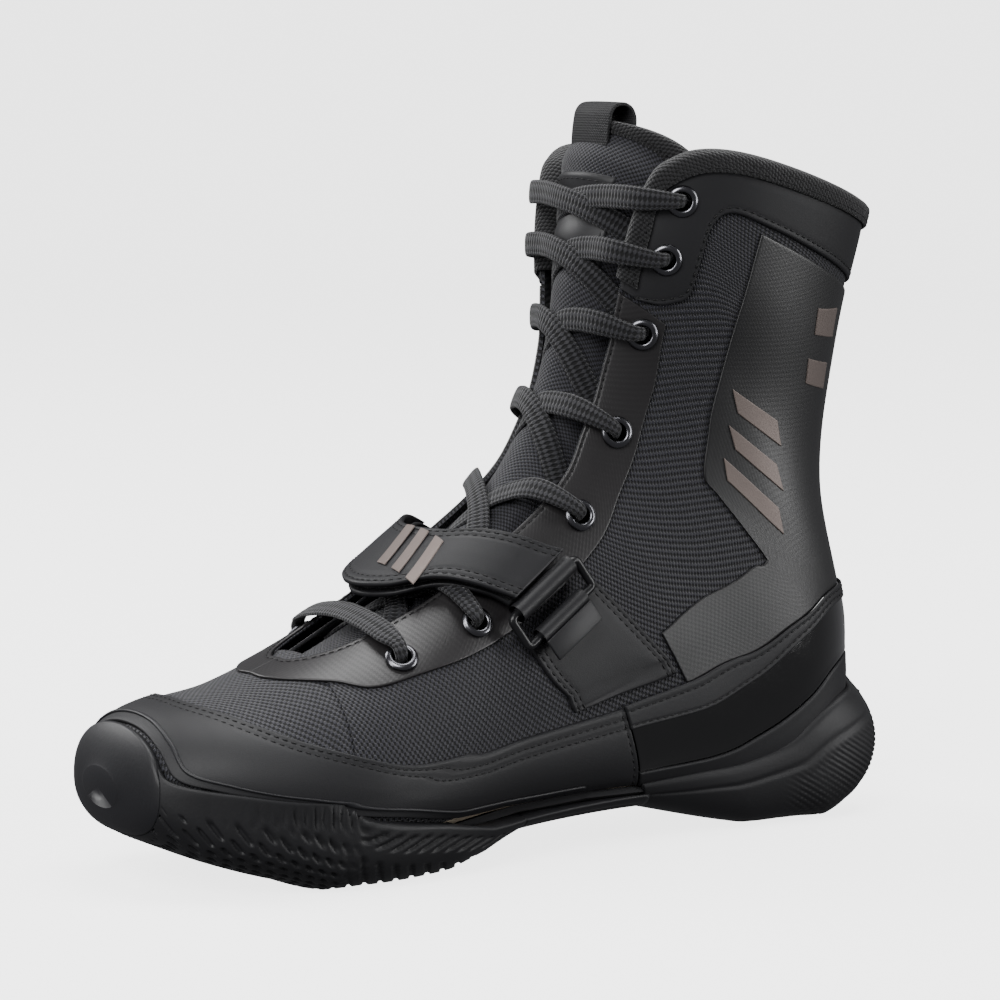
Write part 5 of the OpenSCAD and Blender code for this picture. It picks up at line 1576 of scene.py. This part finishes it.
KEPT: dict[str, Finish] = {
    "midsole": FOAM, "lasting_board": STIFFENER, "toe_puff": STIFFENER,
    "heel_counter": STIFFENER, "collar_foam": PADDING, "aglets": ACETATE,
    "eyelet_washers_lateral": GUNMETAL, "eyelet_washers_medial": GUNMETAL}


def dress_kept() -> None:
    """Gives the CAD pieces that stay their finishes."""
    for name, finish in KEPT.items():
        piece = bpy.data.objects[name]
        for holder in piece.material_slots:
            holder.material = finish.made()


# ---------------------------------------------------------------- studio


@dataclass
class Studio:
    """A pale sweep, soft lights and the camera."""

    target: tuple[float, float, float] = (0.44, 0.8, 118.0)
    azimuth: float = -32.5
    elevation: float = 6.5
    distance: float = 1400.0
    lens: float = 147.7
    # The sweep lies this many metres below the sole, so that the two don't share a face
    clearance: float = 0.0004

    def camera(self) -> None:
        """Places the camera."""
        view = bpy.data.cameras.new("view")
        view.lens, view.sensor_width = self.lens, 36.0
        view.clip_end = 50.0
        a, e = math.radians(self.azimuth), math.radians(self.elevation)
        away = Vector((math.cos(e) * math.sin(a), -math.cos(e) * math.cos(a), math.sin(e)))
        target = Vector(self.target) * MM
        rig = bpy.data.objects.new("view", view)
        rig.location = target + away * self.distance * MM
        rig.rotation_euler = (-away).to_track_quat("-Z", "Y").to_euler()
        bpy.context.scene.collection.objects.link(rig)
        bpy.context.scene.camera = rig

    def softbox(self, name: str, place: tuple[float, float, float], size: tuple[float, float],
                power_w: float) -> None:
        """Adds a rectangular light that looks at the boot.

        Args:
            name: The light's name.
            place: Its place in metres.
            size: Its width and height in metres.
            power_w: Its power in watts.
        """
        lamp = bpy.data.lights.new(name, "AREA")
        lamp.shape, lamp.size, lamp.size_y, lamp.energy = "RECTANGLE", *size, power_w
        rig = bpy.data.objects.new(name, lamp)
        rig.location = Vector(place)
        rig.rotation_euler = (Vector(self.target) * MM - Vector(place)).to_track_quat(
            "-Z", "Y").to_euler()
        bpy.context.scene.collection.objects.link(rig)

    def sweep(self) -> None:
        """Builds the floor, rising behind the boot."""
        profile = [(-4.0, 0.0), (3.0, 0.0)]
        profile += [(3.0 + 1.5 * math.sin(a), 1.5 - 1.5 * math.cos(a))
                    for a in np.linspace(0.1, math.pi / 2, 16)]
        profile.append((4.5, 5.0))
        turn = Matrix.Rotation(math.radians(self.azimuth), 4, "Z")
        bm = bmesh.new()
        left = [bm.verts.new(turn @ Vector((-5, y, z - self.clearance))) for y, z in profile]
        right = [bm.verts.new(turn @ Vector((5, y, z - self.clearance))) for y, z in profile]
        for k in range(len(profile) - 1):
            bm.faces.new((left[k], right[k], right[k + 1], left[k + 1]))
        mesh = bpy.data.meshes.new("sweep")
        bm.to_mesh(mesh)
        bm.free()
        paper = bpy.data.materials.new("white paper")
        paper.use_nodes = True
        shader = paper.node_tree.nodes["Principled BSDF"]
        shader.inputs["Base Color"].default_value = linear("#bdbdbd")
        shader.inputs["Roughness"].default_value = 0.9
        shader.inputs["Emission Color"].default_value = linear("#ffffff")
        shader.inputs["Emission Strength"].default_value = 3.0
        mesh.materials.append(paper)
        floor = bpy.data.objects.new("sweep", mesh)
        for face in mesh.polygons:
            face.use_smooth = True
        bpy.context.scene.collection.objects.link(floor)
        floor.visible_diffuse = floor.visible_glossy = False

    def made(self) -> None:
        """Builds the studio."""
        world = bpy.data.worlds.new("studio")
        world.use_nodes = True
        tree = world.node_tree
        sky = tree.nodes["Background"]
        seen = add(tree, "ShaderNodeLightPath").outputs["Is Camera Ray"]
        shade = add(tree, "ShaderNodeMix", {0: seen, 6: (0.10, 0.10, 0.105, 1.0),
                                            7: (1.0, 1.0, 1.0, 1.0)}, data_type="RGBA")
        tree.links.new(shade.outputs[2], sky.inputs["Color"])
        sky.inputs["Strength"].default_value = 1.6
        bpy.context.scene.world = world
        self.camera()
        self.sweep()
        self.softbox("key", (-1.5, -1.3, 1.6), (1.2, 1.2), 55.0)
        self.softbox("top", (0.3, 0.2, 1.9), (1.6, 1.0), 40.0)
        self.softbox("side", (1.7, -1.2, 0.7), (0.5, 1.4), 22.0)
        self.softbox("back", (-0.9, 1.5, 1.2), (0.8, 1.2), 30.0)
        self.softbox("low", (1.35, -1.4, 0.1), (0.55, 0.3), 8.0)
        self.softbox("front", (-1.9, -0.4, 0.7), (0.5, 1.2), 20.0)


def main() -> None:
    """Builds the boot and the studio."""
    logging.basicConfig(level=logging.INFO, format="%(message)s")
    Studio().made()
    shell_seams = Sewing("boot_stitches", "boot")
    flap_seams = Sewing("flap_stitches", "strap_flap")
    tongue_seams = Sewing("tongue_stitches", "tongue")
    upper = Upper(shell_seams)
    upper.vamp()
    upper.quarters()
    upper.overlays()
    upper.foils()
    Binding().made(shell_seams)
    Eyelets().made()
    Lacing().made()
    InstepStrap(shell_seams, flap_seams).made()
    Tongue(tongue_seams).made()
    Sole().made()
    for seams in (shell_seams, flap_seams, tongue_seams):
        seams.made()
    dress_kept()


if __name__ == "__main__":
    main()
